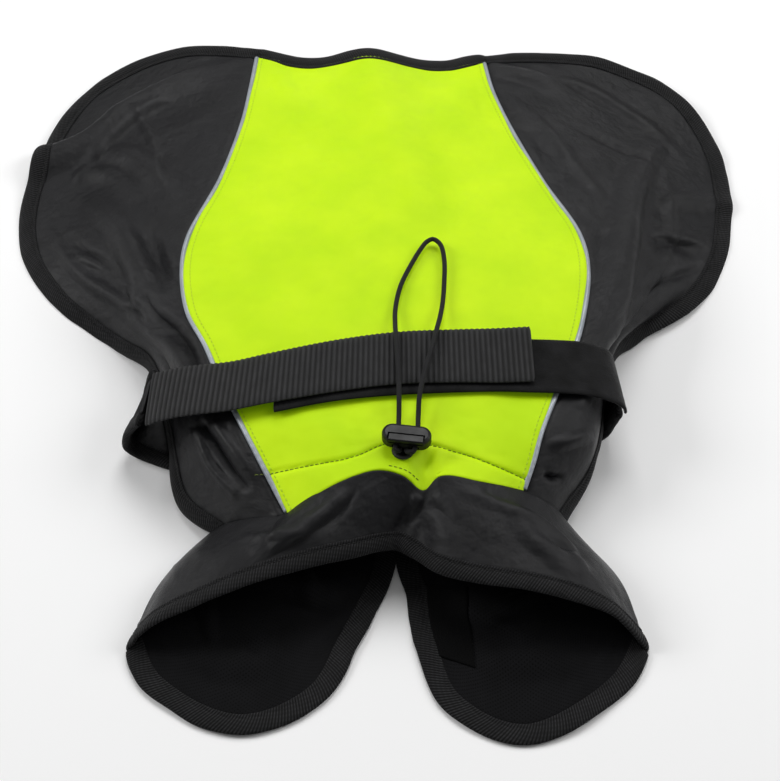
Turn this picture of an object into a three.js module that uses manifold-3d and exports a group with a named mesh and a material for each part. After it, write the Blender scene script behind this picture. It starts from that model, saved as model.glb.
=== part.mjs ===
// A small dog's rain jacket, laid belly-down and flat, closing strap done up over its back.
// Millimetres, +Z up.  +Y runs to the rear hem, -Y to the neck, +X is on the right of someone
// who stands at the neck end.  The origin is under the middle of the jacket, on the surface.
import * as THREE from 'three';
import { mergeVertices } from 'three/addons/utils/BufferGeometryUtils.js';
import Module from 'manifold-3d';

const wasm = await Module();
wasm.setup();

// ---------------------------------------------------------------- driving dimensions
const BACK_CLOTH = 1.8; // coated cloth with its mesh lining
const SIDE_CLOTH = 1.6;
const FLAP_CLOTH = 1.8;
const BAND_CLOTH = 2.2;
const SEAM_GAP = 0.3;
const NECK_INSET = 0.6; // the collar stops this far from the neck seam
const BINDING_WIDTH = 9.5; // a 20 mm tape folded over the edge
const BINDING = { edge: 1.6, crown: 3.0, stitch: 2.3 }; // thickness across the folded tape
const FLAP_BINDING = { edge: 1.2, crown: 2.4, stitch: 2.0 }; // flatter, the collar lies on it
const PIPING_DIAMETER = 3.2;
const SEAM_INSET = PIPING_DIAMETER / 2 + 0.5; // a panel stops this far from its seam line
const STRAP_WIDTH = 32;
const WEBBING_THICKNESS = 1.8;
const LOOP_TAPE_THICKNESS = 1.5;
const PATCH_THICKNESS = 1.0;
const CORD_DIAMETER = 2.4;
const EYELET = { x: 13.1, y: -93.8, z: 44.2, bore: 7, rim: 10.8, height: 1.0, rounding: 0.3, bevel: 1.0 };
const LOCK = { x: 14.8, y: -89.6, z: 45.6, width: 23.5, depth: 10.3, height: 7.2, bevel: 1.6, turn: -0.13 };
const LOCK_BORE = { diameter: 3.8, offset: 4.6, height: 2.4 }; // offset is from the lock's middle
const BUTTON = { width: 17, depth: 4.2, height: 2.4, bevel: 0.5 };

// Grid cells across and along each panel.
const BACK_CELLS = { across: 16, along: 24 };
const SIDE_CELLS = { across: 11, along: 42 };
const COLLAR_CELLS = { across: 6, along: 38 };
const FLAP_CELLS = { across: 13, along: 11 };

// ---------------------------------------------------------------- tables
// Back panel, a row for each section from the rear hem to the neck: the two piped seams and
// three lines between them.
const BACK = [
  { left: [-70, 211, 11], a: [-38, 209, 6.5], b: [-5, 207, 15], c: [30, 207, 6.5], right: [61.5, 208, 9.5] },
  { left: [-72, 182, 15], a: [-38, 181, 13], b: [-4, 181, 20], c: [31, 182, 13], right: [65, 183, 12.5] },
  { left: [-75, 150, 19], a: [-38, 149, 20], b: [-1, 149, 24], c: [36, 150, 19], right: [73, 151, 16.5] },
  { left: [-84, 100, 26], a: [-41, 99, 28], b: [3, 99, 31], c: [46, 99, 27], right: [89, 100, 24] },
  { left: [-98, 50, 33], a: [-46, 51, 35], b: [5, 51, 37], c: [56, 52, 35], right: [106, 54, 31] },
  { left: [-99, 25, 36], a: [-47, 25, 38.5], b: [5, 24, 40], c: [57, 24, 38.5], right: [108, 24, 35.5] },
  { left: [-94, -5, 38.5], a: [-44, -6, 41.5], b: [6, -7, 42.3], c: [56, -8, 41.3], right: [103, -9, 38] },
  { left: [-84, -27, 40], a: [-38, -27, 42.8], b: [8, -28, 43.5], c: [54, -28, 42.6], right: [98, -28, 39.5] },
  { left: [-73, -56, 41], a: [-32, -56, 42.8], b: [8, -57, 43.4], c: [48, -57, 42.6], right: [87, -58, 40] },
  { left: [-62, -80, 40], a: [-26, -79, 42], b: [9, -79, 42.6], c: [44, -79, 42], right: [79, -80, 39] },
  { left: [-53, -98, 37], a: [-21, -92, 41], b: [10, -91, 42], c: [43, -92, 41], right: [75, -94, 36] },
  { left: [-41, -122, 31.3], a: [-14, -110, 38.5], b: [13, -107, 41], c: [42, -107, 39.5], right: [70, -109, 31.5] },
];

// Side panels, in the same sections: two lines down the flank and the line where the binding
// is stitched on.  They start at the back panel's seams.
const LEFT_SIDE = [
  { a: [-102, 217, 8], b: [-136, 208, 6], edge: [-161, 188, 4] },
  { a: [-107, 183, 10], b: [-141, 175, 7], edge: [-174.5, 161, 3] },
  { a: [-110, 150, 14], b: [-146, 144, 9], edge: [-179.5, 138, 4] },
  { a: [-119, 104, 19], b: [-153, 105, 9], edge: [-186.5, 104, 2] },
  { a: [-126, 60, 24], b: [-155, 68, 12], edge: [-183, 71, 2] },
  { a: [-119, 32, 28], b: [-143, 38, 14], edge: [-164.5, 39, 3] },
  { a: [-108, 0, 33], b: [-123, 7, 19], edge: [-137, 11, 5.5] },
  { a: [-95, -22, 36], b: [-105, -18, 25], edge: [-111, -14, 13] },
  { a: [-86, -56, 37], b: [-96, -56, 26], edge: [-100, -55, 14] },
  { a: [-76, -79, 36], b: [-88, -78, 26], edge: [-95, -76, 14] },
  { a: [-65, -97, 33], b: [-78, -94, 22], edge: [-88.5, -92, 9.5] },
  { a: [-54, -118, 26], b: [-62, -116, 21], edge: [-70, -112.5, 13.5] },
];
const RIGHT_SIDE = [
  { a: [93, 212, 7], b: [126, 211, 5], edge: [158, 195, 4] },
  { a: [100, 182, 10], b: [138, 176, 6], edge: [174.5, 173, 3] },
  { a: [109, 148, 13], b: [148, 144, 8], edge: [185.5, 140, 2] },
  { a: [122, 103, 18], b: [155, 105, 10], edge: [186, 105, 2] },
  { a: [130, 64, 23], b: [156, 72, 12], edge: [178, 77.5, 2] },
  { a: [127, 32, 28], b: [147, 39, 15], edge: [166, 41.5, 3] },
  { a: [117, -1, 33], b: [127, 6, 21], edge: [139, 19, 5] },
  { a: [109, -25, 36], b: [114, -19, 26], edge: [116, -9, 13] },
  { a: [100, -57, 37], b: [107, -57, 26], edge: [107.5, -57, 14] },
  { a: [92, -79, 35], b: [101, -78, 25], edge: [102.5, -76, 14] },
  { a: [84, -93, 31], b: [92, -91, 21], edge: [94.5, -89, 10] },
  { a: [77, -108, 26], b: [82, -108, 21], edge: [86, -107, 15] },
];

// Collar, a row for each section from the left outer fold over the top to the right one:
// the rim binding's stitch line, half-way, the neck seam, and the gap to the body behind it.
const COLLAR = [
  { rim: [-109, -168, 3.4], half: [-100, -142, 3], neck: [-76.5, -111, 3], gap: 1.4 },
  { rim: [-100, -164, 14.5], half: [-89.5, -141, 17], neck: [-68, -115.5, 16], gap: 1.4 },
  { rim: [-81, -158, 23], half: [-72, -141, 26], neck: [-55, -120, 25.5], gap: 1.4 },
  { rim: [-57.5, -150, 29.5], half: [-50, -138, 32], neck: [-41, -122.6, 31.3], gap: 1.4 },
  { rim: [-35, -142.5, 31], half: [-31, -130, 34.5], neck: [-28, -115, 36], gap: 1.2 },
  { rim: [-11.5, -134, 28.5], half: [-12, -122, 35], neck: [-14, -108, 39.7], gap: 0.9 },
  { rim: [2.5, -128.5, 26], half: [1.5, -117, 36], neck: [1, -104, 42], gap: 0.6 },
  { rim: [12.5, -127, 24], half: [13, -118, 32], neck: [13, -106.5, 41], gap: 0.5 },
  { rim: [21.5, -132, 23.5], half: [22, -122, 29.5], neck: [22.5, -111.5, 36], gap: 0.5 },
  { rim: [32, -142.5, 28], half: [32, -127, 34], neck: [31, -106.5, 40], gap: 0.5 },
  { rim: [49.5, -150, 31], half: [49, -131, 36], neck: [49, -109, 39], gap: 0.5 },
  { rim: [72, -154.5, 31], half: [71, -133, 34], neck: [70, -109, 31.5], gap: 0.5 },
  { rim: [91, -157, 26], half: [86, -136, 27], neck: [78, -109, 25], gap: 0.9 },
  { rim: [108.5, -161, 17], half: [100, -138, 18], neck: [85, -109, 17], gap: 0.9 },
  { rim: [121.5, -167, 3.4], half: [114, -140, 3], neck: [91.5, -109.5, 3], gap: 0.9 },
];
const LEFT_PIPING_ROW = 3; // the collar sections that the two piped seams run into
const RIGHT_PIPING_ROW = 11;
const LEFT_NECK_END = 0.75; // where the side panels' neck edges stop
const RIGHT_NECK_END = 13.25;

// Chest flaps, lining up, a row for each section from the hidden chest end to the round tip:
// the outer fold, three lines between, and the front edge beside the other flap.
const LEFT_FLAP = [
  { fold: [-76, -110, 0], a: [-57, -107, 0], b: [-38, -106, 0], c: [-19, -105, 0], front: [-0.5, -105, 0] },
  { fold: [-99, -143, 0], a: [-73, -142, 0], b: [-50, -141, 0], c: [-26, -140, 0], front: [-5, -139, 0] },
  { fold: [-105.5, -158, 0], a: [-80, -166, 0], b: [-56, -169, 0], c: [-32, -166, 0], front: [-10.7, -158, 0] },
  { fold: [-109, -168.5, 0], a: [-98, -191, 0], b: [-61, -210.8, 0], c: [-29.5, -196.5, 0], front: [-16, -170, 0] },
];
const RIGHT_FLAP = [
  { fold: [91, -109, 0], a: [74, -106, 0], b: [56, -105, 0], c: [39, -105, 0], front: [21.5, -105, 0] },
  { fold: [113, -140, 0], a: [88, -141, 0], b: [66, -141, 0], c: [44, -140, 0], front: [22.3, -139, 0] },
  { fold: [118.5, -156, 0], a: [92, -165, 0], b: [69, -168, 0], c: [46, -166, 0], front: [24.6, -158, 0] },
  { fold: [121.5, -167.5, 0], a: [108, -191.5, 0], b: [67.5, -215.6, 0], c: [38, -200.5, 0], front: [26.8, -170, 0] },
];

// Folds: a soft ridge (or, with a negative height, a trough) along a line on the cloth.
// left and right are its half-widths, seen from above along the line; ends are the shares of
// the height that are left at its two ends.
const LEFT_FOLDS = [
  { line: [[-186, 135, 4], [-162, 147, 8], [-144, 168, 8], [-122, 188, 9], [-96, 204, 9]],
    height: 6.5, left: 7, right: 16, ends: [0.9, 0.1] },
  { line: [[-164, 136, 8], [-138, 131, 12], [-118, 104, 19], [-106, 72, 28]],
    height: 4.5, left: 10, right: 11, ends: [0, 0] },
  { line: [[-170, 121, 6], [-149, 120, 10], [-128, 92, 18]],
    height: 3, left: 8, right: 9, ends: [0, 0] },
  { line: [[-124, 70, 24], [-114, 42, 29], [-104, 14, 33]],
    height: -5, left: 9, right: 9, ends: [0.1, 0] },
  { line: [[-162, 108, 6], [-138, 74, 17], [-126, 44, 23], [-113, 10, 28], [-103, -14, 32]],
    height: 4.5, left: 9, right: 9, ends: [0, 0] },
];
const RIGHT_FOLDS = [
  { line: [[115, -18, 30], [122, 12, 28], [129, 42, 24], [138, 90, 18], [150, 128, 10], [160, 150, 6]],
    height: 5.5, left: 15, right: 7, ends: [0.2, 0] },
  { line: [[66, 204, 9], [90, 196, 9], [116, 178, 9]],
    height: 3.5, left: 8, right: 10, ends: [0.4, 0] },
  { line: [[74, 172, 14], [94, 140, 16], [108, 118, 18]],
    height: 3, left: 9, right: 9, ends: [0.2, 0] },
  { line: [[184, 104, 2], [166, 100, 7], [152, 86, 12]],
    height: 3, left: 7, right: 9, ends: [0.6, 0] },
  { line: [[172, 66, 4], [156, 66, 10], [143, 56, 17]],
    height: -3, left: 9, right: 9, ends: [0, 0] },
];
const BACK_FOLDS = [
  { line: [[-2, 205, 15], [10, 140, 25], [24, 84, 32], [28, 50, 37]],
    height: 2.5, left: 20, right: 16, ends: [0.4, 0] },
  { line: [[26, -88, 42], [23, -100, 41], [22.5, -111, 39]],
    height: -1.8, left: 8, right: 7, ends: [0, 0.8] },
];
const COLLAR_FOLDS = [
  { line: [[-24, -116, 37], [-40, -132, 34], [-58, -143, 31]],
    height: 2.6, left: 8, right: 9, ends: [0, 0] },
  { line: [[58, -117, 37], [84, -144, 31], [106, -154, 19]],
    height: 2.8, left: 10, right: 9, ends: [0, 0] },
  { line: [[20, -115, 34], [15, -122, 29], [11, -127, 25]],
    height: -2.4, left: 6, right: 6, ends: [0, 0.5] },
];
const LEFT_FLAP_FOLDS = [
  { line: [[-60, -134, 0], [-40, -142, 0], [-14, -152, 0]],
    height: 6, left: 12, right: 10, ends: [0, 0.2] },
  { line: [[-92, -176, 0], [-66, -184, 0], [-40, -180, 0]],
    height: 2.5, left: 10, right: 12, ends: [0, 0] },
];
const RIGHT_FLAP_FOLDS = [
  { line: [[34, -150, 0], [58, -154, 0], [84, -148, 0]],
    height: 4, left: 12, right: 12, ends: [0.1, 0] },
  { line: [[44, -188, 0], [72, -182, 0], [98, -184, 0]],
    height: 2.5, left: 10, right: 12, ends: [0, 0] },
];

// Closing strap, a row for each place on the middle line of its underside.  rise and skew are
// how far its rear edge is higher, and more to the right, than its front edge.
const WEBBING = [
  { x: -111, y: -51, z: 31.2, rise: 1.5, skew: 0.5 },
  { x: -106, y: -52, z: 34.8, rise: 0, skew: 0 },
  { x: -97, y: -53, z: 39.4, rise: -0.6, skew: 0 },
  { x: -86, y: -54, z: 42.8, rise: -1.2, skew: 0 },
  { x: -70, y: -54.6, z: 45.4, rise: -1.6, skew: 0 },
  { x: -52, y: -54, z: 46.9, rise: -1.2, skew: 0 },
  { x: -20, y: -50.5, z: 48, rise: -0.6, skew: 0 },
  { x: 10, y: -47.5, z: 48.4, rise: 0, skew: 0 },
  { x: 40, y: -43, z: 48.3, rise: 0.8, skew: 0 },
  { x: 60, y: -39.5, z: 48.3, rise: 1.8, skew: -0.5 },
  { x: 75.6, y: -36.5, z: 48, rise: 2.2, skew: -1 },
];
const LOOP_TAPE = [
  { x: -48, y: -53.5, z: 45.05, rise: -1.1, skew: 0 },
  { x: -20, y: -51.6, z: 45.95, rise: -0.5, skew: 0 },
  { x: 10, y: -49.2, z: 46.3, rise: 0, skew: 0 },
  { x: 40, y: -46.5, z: 45.8, rise: 0, skew: 0 },
  { x: 60, y: -44.6, z: 45.2, rise: 0, skew: 0 },
  { x: 76, y: -43.6, z: 44.3, rise: 0, skew: 0 },
  { x: 90, y: -43.2, z: 43.4, rise: 0, skew: 0 },
  { x: 100, y: -43, z: 42, rise: 0.5, skew: -1.5 },
  { x: 109, y: -43, z: 39, rise: 2, skew: -4 },
  { x: 115.4, y: -42.5, z: 34.6, rise: 3, skew: -5 },
  { x: 118.4, y: -42, z: 29.8, rise: 2.5, skew: -5 },
  { x: 119.4, y: -41.5, z: 25.6, rise: 0, skew: -4 },
];

// Belly band, on the surface and turned up at both ends: the lines where its front and rear
// bindings are stitched, on the outer face.
const BAND = [
  { front: [-113.6, -60, 29.6], rear: [-110.6, -41.5, 30.6] },
  { front: [-119.4, -59.5, 22.5], rear: [-114, -40.5, 24] },
  { front: [-122.4, -59, 14], rear: [-116.2, -40, 15.5] },
  { front: [-122.6, -58.5, 7], rear: [-116.6, -39.5, 7.5] },
  { front: [-119, -59, 2], rear: [-113.5, -38, 2] },
  { front: [-111, -62, 0], rear: [-107, -33, 0] },
  { front: [-94, -68, 0], rear: [-94, -28, 0] },
  { front: [-50, -71, 0], rear: [-50, -24, 0] },
  { front: [0, -72, 0], rear: [0, -23, 0] },
  { front: [50, -68, 0], rear: [50, -23, 0] },
  { front: [86, -59, 0], rear: [90, -26, 0] },
  { front: [102, -52.5, 0], rear: [104, -29, 0] },
  { front: [112.5, -49, 0.4], rear: [112.5, -31.5, 0.4] },
  { front: [118.6, -48, 5.5], rear: [118.6, -32.5, 6] },
  { front: [120.4, -48.6, 14], rear: [119.6, -34, 15] },
  { front: [120.4, -50, 23], rear: [118.2, -35, 23] },
];
const BAND_BINDING_WIDTH = 7.5;
const BAND_CELLS = { across: 3, along: 34 };
const STRAP_CELLS = { across: 2, along: 28 };

// Drawcord: out of the eyelet, through the lock, over the strap, round its loop and back.
const CORD_ROUTE = [
  [11.7, -93.4, 43], [11.6, -94.1, 45], [11, -96, 46.9], [9.8, -96.4, 48], [9.5, -94.4, 48],
  [10.9, -83.9, 48], [11.2, -77, 48.8], [11.3, -68, 51.6], [11.1, -54, 52.3], [10.4, -40, 52.3],
  [9.8, -29, 51.7], [9.5, -20, 49], [9.7, -8, 46.4], [12.4, 8, 45.2], [18, 23.5, 44.2],
  [22.6, 34, 43.4], [25.8, 39.6, 42.9], [29, 41.6, 42.8], [32.6, 38, 43], [34.5, 27, 43.8],
  [34.2, 10, 45.1], [33.2, -4, 46.3], [31.6, -16, 49], [29.6, -27, 51.9], [26.8, -40, 52.5],
  [23.4, -54, 52.3], [20.9, -68, 51.6], [20.4, -77, 48.8], [20, -85.1, 48], [18.7, -95.3, 48],
  [17.8, -97.2, 48], [15.2, -96.5, 46.9], [14.6, -94.2, 45], [14.5, -93.4, 43],
];
const CORD_STEPS = 64;
const CORD_SIDES = 8;

// ---------------------------------------------------------------- making cloth
const vector = (xyz) => new THREE.Vector3(...xyz);
const curveThrough = (points) => new THREE.CatmullRomCurve3(points);

// A grid of points over a table of sections: smooth along the sections and across each one.
function loft(rows, keys, cells, inset = {}) {
  const guides = keys.map((key) => curveThrough(rows.map((row) => vector(row[key]))));
  const grid = [];
  for (let i = 0; i <= cells.along; i += 1) {
    const line = curveThrough(guides.map((guide) => guide.getPoint(i / cells.along)));
    const length = line.getLength();
    const first = inset.first ?? 0;
    const span = length - first - (inset.last ?? 0);
    const row = [];
    for (let j = 0; j <= cells.across; j += 1) {
      row.push(line.getPointAt(Math.min(1, (first + (span * j) / cells.across) / length)));
    }
    grid.push(row);
  }
  return grid;
}

// Brings the last rows of a grid to a sewn line, fading over a share of the rows.
function sewTo(grid, lineAt, share) {
  const last = grid.length - 1;
  const shifts = grid[last].map((point, j) => lineAt(j / (grid[last].length - 1)).sub(point));
  grid.forEach((row, i) => {
    const weight = Math.max(0, (i / last - (1 - share)) / share) ** 2;
    row.forEach((point, j) => point.addScaledVector(shifts[j], weight));
  });
  return grid;
}

// Normals at a grid's points, from the cells round each one; side is 1 or -1.
function normalsOf(grid, side) {
  const cellNormal = (i, j) => {
    const inside = i >= 0 && j >= 0 && i + 1 < grid.length && j + 1 < grid[0].length;
    if (!inside) return new THREE.Vector3();
    const diagonal = grid[i + 1][j + 1].clone().sub(grid[i][j]);
    return grid[i + 1][j].clone().sub(grid[i][j + 1]).cross(diagonal);
  };
  return grid.map((row, i) => row.map((_, j) => (
    cellNormal(i - 1, j - 1).add(cellNormal(i - 1, j)).add(cellNormal(i, j - 1)).add(cellNormal(i, j))
      .normalize().multiplyScalar(side))));
}

// How far a fold lifts a point of the cloth.
function foldLift(fold, point, normal) {
  let best = { distance: Infinity };
  const steps = fold.path.length - 1;
  for (let k = 0; k < steps; k += 1) {
    const segment = new THREE.Line3(fold.path[k], fold.path[k + 1]);
    const share = segment.closestPointToPointParameter(point, true);
    const offset = point.clone().sub(segment.at(share, new THREE.Vector3()));
    if (offset.length() < best.distance) {
      best = { distance: offset.length(), offset, run: segment.delta(new THREE.Vector3()),
        place: (k + share) / steps };
    }
  }
  const leftward = normal.clone().cross(best.run).dot(best.offset) > 0;
  const reach = best.distance / (leftward ? fold.left : fold.right);
  if (reach >= 1) return 0;
  const end = best.place < 0.5 ? fold.ends[0] : fold.ends[1];
  const middle = Math.sin(Math.PI * best.place);
  return fold.height * (end + (1 - end) * middle) * (1 - reach * reach) ** 2;
}

// Lifts a grid into its folds; nothing goes below the surface that the jacket lies on.
function folded(grid, folds, side) {
  const FOLD_STEPS = 10;
  const paths = folds.map((fold) => (
    { ...fold, path: curveThrough(fold.line.map(vector)).getPoints(FOLD_STEPS) }));
  const normals = normalsOf(grid, side);
  return grid.map((row, i) => row.map((point, j) => {
    const lift = paths.reduce((sum, fold) => sum + foldLift(fold, point, normals[i][j]), 0);
    const moved = point.clone().addScaledVector(normals[i][j], lift);
    moved.z = Math.max(moved.z, 0);
    return moved;
  }));
}

function geometryOf(points, triangles) {
  const geometry = new THREE.BufferGeometry();
  geometry.setAttribute('position', new THREE.Float32BufferAttribute(
    points.flatMap((point) => point.toArray()), 3));
  let volume = 0;
  for (const [a, b, c] of triangles) {
    volume += points[a].dot(points[b].clone().cross(points[c]));
  }
  const outward = volume > 0 ? triangles : triangles.map(([a, b, c]) => [a, c, b]);
  geometry.setIndex(outward.flat());
  geometry.computeVertexNormals();
  return geometry;
}

// A closed wall of cloth on a grid of inner points, rising from `base` to `base` plus its
// thickness along the normals.  The thickness may change across the grid.
function wall(grid, thickness, side, base = 0) {
  const normals = normalsOf(grid, side);
  const thickAt = typeof thickness === 'function' ? thickness : () => thickness;
  const columns = grid[0].length;
  const layer = (rise) => grid.flatMap((row, i) => row.map((point, j) => {
    const moved = point.clone().addScaledVector(normals[i][j], rise(j / (columns - 1)));
    moved.z = Math.max(moved.z, 0);
    return moved;
  }));
  const inner = layer(() => base);
  const outer = layer((share) => base + thickAt(share));
  const points = [...inner, ...outer];
  const count = inner.length;
  const triangles = [];
  const quad = (a, b, c, d) => triangles.push([a, b, c], [a, c, d]);
  for (let i = 0; i + 1 < grid.length; i += 1) {
    for (let j = 0; j + 1 < columns; j += 1) {
      const corner = i * columns + j;
      const [a, b, c, d] = [corner, corner + 1, corner + columns + 1, corner + columns];
      quad(a, b, c, d);
      quad(count + a, count + d, count + c, count + b);
    }
  }
  const rim = [];
  for (let j = 0; j + 1 < columns; j += 1) rim.push(j);
  for (let i = 0; i + 1 < grid.length; i += 1) rim.push(i * columns + columns - 1);
  for (let j = columns - 1; j > 0; j -= 1) rim.push((grid.length - 1) * columns + j);
  for (let i = grid.length - 1; i > 0; i -= 1) rim.push(i * columns);
  rim.forEach((a, k) => {
    const b = rim[(k + 1) % rim.length];
    quad(b, a, count + a, count + b);
  });
  return geometryOf(points, triangles);
}

// A folded tape outside a line of panel points: three points wide, thickest in the middle.
// An end of the tape may turn to a given direction, or run on past the panel's corner.
function bindingOn(border, width, profile, outward, { startTurn, endTurn, startOn = 0, endOn = 0 } = {}) {
  const TURN = 3; // points of the border that a turn takes
  const last = border.length - 1;
  const offsets = [SEAM_GAP, width * 0.5, width];
  const thickness = [profile.stitch, profile.crown, profile.edge];
  const grid = border.map(({ point, normal }, k) => {
    const before = border[Math.max(k - 1, 0)].point;
    const after = border[Math.min(k + 1, last)].point;
    const away = after.clone().sub(before).cross(normal).normalize().multiplyScalar(outward);
    if (startTurn && k < TURN) away.lerp(startTurn, 1 - k / TURN).normalize();
    if (endTurn && last - k < TURN) away.lerp(endTurn, 1 - (last - k) / TURN).normalize();
    const run = after.clone().sub(before).normalize();
    const runOn = (k === last ? endOn : 0) - (k === 0 ? startOn : 0);
    return offsets.map((offset) => {
      const place = point.clone().addScaledVector(away, offset).addScaledVector(run, runOn);
      place.z = Math.max(place.z, 0);
      return place;
    });
  });
  const thicknessAt = (share) => thickness[Math.round(share * (thickness.length - 1))];
  return wall(grid, thicknessAt, -outward);
}

// The points and normals of one edge of a grid.
function borderOf(grid, side, cellsOf) {
  const normals = normalsOf(grid, side);
  return cellsOf(grid).map(([i, j]) => ({ point: grid[i][j], normal: normals[i][j] }));
}
const range = (count) => Array.from({ length: count }, (_, k) => k);
const firstRow = (grid) => range(grid[0].length).map((j) => [0, j]);
const lastRow = (grid) => range(grid[0].length).map((j) => [grid.length - 1, j]);
const firstColumn = (grid) => range(grid.length).map((i) => [i, 0]);
const lastColumn = (grid) => range(grid.length).map((i) => [i, grid[0].length - 1]);
const rearThenFlank = (grid) => [...firstRow(grid), ...lastColumn(grid).slice(1)];
const tipThenFront = (grid) => [...lastRow(grid), ...lastColumn(grid).reverse().slice(1)];

const SEAM_RUN = SEAM_INSET - SEAM_GAP; // a tape meets its neighbour over the piped seam
const seamEnd = (seam) => vector(BACK[0][seam]).sub(vector(BACK[1][seam])).normalize();

function flapBinding(grid, side) {
  const foldLine = grid[grid.length - 1][0].clone().sub(grid[grid.length - 2][0]).normalize();
  const border = borderOf(grid, side, tipThenFront);
  return bindingOn(border, BINDING_WIDTH, FLAP_BINDING, side, { startTurn: foldLine });
}

// Hem binding of a side panel; it starts along the piped seam and ends along the neck seam.
function sideBinding(grid, side, seam, neckRow, foldRow) {
  const neckLine = neckAt(foldRow).sub(neckAt(neckRow)).normalize();
  const border = borderOf(grid, side, rearThenFlank);
  return bindingOn(border, BINDING_WIDTH, BINDING, -side,
    { startTurn: seamEnd(seam), endTurn: neckLine, startOn: SEAM_RUN, endOn: -SEAM_INSET / 2 });
}

// A strap's underside, from its front edge to its rear edge.
function strapGrid(rows) {
  const edge = ({ x, y, z, rise, skew }, share) => (
    [x + skew * share, y + STRAP_WIDTH * share, z + rise * share]);
  const edges = rows.map((row) => ({ front: edge(row, -0.5), rear: edge(row, 0.5) }));
  return loft(edges, ['front', 'rear'], STRAP_CELLS);
}

function circle(radius) {
  return new THREE.Shape().absarc(0, 0, radius, 0, 2 * Math.PI);
}

function tube(curve, diameter, steps, sides) {
  return new THREE.ExtrudeGeometry(circle(diameter / 2), {
    extrudePath: curve, steps, curveSegments: sides / 2, bevelEnabled: false,
  });
}

// ---------------------------------------------------------------- booleans
function toSolid(geometry) {
  const bare = geometry.clone();
  bare.deleteAttribute('normal');
  bare.deleteAttribute('uv');
  const merged = mergeVertices(bare, 1e-4);
  return new wasm.Manifold(new wasm.Mesh({
    numProp: 3,
    vertProperties: new Float32Array(merged.attributes.position.array),
    triVerts: new Uint32Array(merged.index.array),
  }));
}

function fromSolid(solid) {
  const mesh = solid.getMesh();
  const geometry = new THREE.BufferGeometry();
  geometry.setAttribute('position', new THREE.BufferAttribute(mesh.vertProperties, 3));
  geometry.setIndex(new THREE.BufferAttribute(mesh.triVerts, 1));
  geometry.computeVertexNormals();
  return geometry;
}

const cut = (body, tool) => fromSolid(toSolid(body).subtract(toSolid(tool)));

// ---------------------------------------------------------------- the panels
const neckCurve = curveThrough(COLLAR.map(({ neck, gap }) => vector(neck).add(vector([0, gap, 0]))));
const neckAt = (row) => neckCurve.getPoint(row / (COLLAR.length - 1));
const neckBetween = (from, to) => (share) => neckAt(from + (to - from) * share);

const backGrid = folded(
  sewTo(
    loft(BACK, ['left', 'a', 'b', 'c', 'right'], BACK_CELLS, { first: SEAM_INSET, last: SEAM_INSET }),
    neckBetween(LEFT_PIPING_ROW + 0.2, RIGHT_PIPING_ROW - 0.14),
    0.14,
  ),
  BACK_FOLDS,
  1,
);

function sideGrid(rows, seam, folds, side, neckRows) {
  const joined = rows.map((row, k) => ({ ...row, seam: BACK[k][seam] }));
  const grid = loft(joined, ['seam', 'a', 'b', 'edge'], SIDE_CELLS, { first: SEAM_INSET });
  return folded(sewTo(grid, neckBetween(...neckRows), 0.1), folds, side);
}
const leftGrid = sideGrid(LEFT_SIDE, 'left', LEFT_FOLDS, -1, [LEFT_PIPING_ROW - 0.14, LEFT_NECK_END]);
const rightGrid = sideGrid(RIGHT_SIDE, 'right', RIGHT_FOLDS, 1, [RIGHT_PIPING_ROW + 0.2, RIGHT_NECK_END]);

const collarGrid = folded(
  loft(COLLAR, ['rim', 'half', 'neck'], COLLAR_CELLS, { last: NECK_INSET }), COLLAR_FOLDS, 1);
const FLAP_LINES = ['fold', 'a', 'b', 'c', 'front'];
const leftFlapGrid = folded(loft(LEFT_FLAP, FLAP_LINES, FLAP_CELLS), LEFT_FLAP_FOLDS, 1);
const rightFlapGrid = folded(loft(RIGHT_FLAP, FLAP_LINES, FLAP_CELLS), RIGHT_FLAP_FOLDS, -1);

// The seam's round piping sits half-way up the thickness of the cloth.
function pipingOn(seam) {
  const PIPING_STEPS = 34;
  const PIPING_SIDES = 6;
  const line = BACK.map((row) => vector(row[seam]).add(new THREE.Vector3(0, 0, SIDE_CLOTH / 2)));
  line[line.length - 1].y += SEAM_INSET;
  return tube(curveThrough(line), PIPING_DIAMETER, PIPING_STEPS, PIPING_SIDES);
}

// ---------------------------------------------------------------- small sewn pieces
function closurePatch() {
  const FIRST = { along: 4, across: 10 };
  const LAST = { along: 9, across: 13 };
  const patch = rightFlapGrid.slice(FIRST.along, LAST.along + 1)
    .map((row) => row.slice(FIRST.across, LAST.across + 1));
  return wall(patch, PATCH_THICKNESS, -1, FLAP_CLOTH + SEAM_GAP);
}

// ---------------------------------------------------------------- drawcord and its fittings
const EYELET_SIDES = 16;

function eyeletRing() {
  const { bore, rim, height, rounding, bevel } = EYELET;
  const shoulder = height - rounding;
  const profile = [
    [bore / 2, 0], [rim / 2, 0], [rim / 2 - rounding, shoulder], [rim / 2 - bevel, height],
    [bore / 2 + rounding, height], [bore / 2, shoulder], [bore / 2, 0],
  ].map(([x, y]) => new THREE.Vector2(x, y));
  return new THREE.LatheGeometry(profile, EYELET_SIDES).rotateX(Math.PI / 2);
}

// The hole in the back panel that the eyelet frames.
function eyeletHole() {
  const DEPTH = 12;
  return new THREE.CylinderGeometry(EYELET.bore / 2, EYELET.bore / 2, DEPTH, EYELET_SIDES)
    .rotateX(Math.PI / 2)
    .translate(EYELET.x, EYELET.y, EYELET.z);
}

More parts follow.
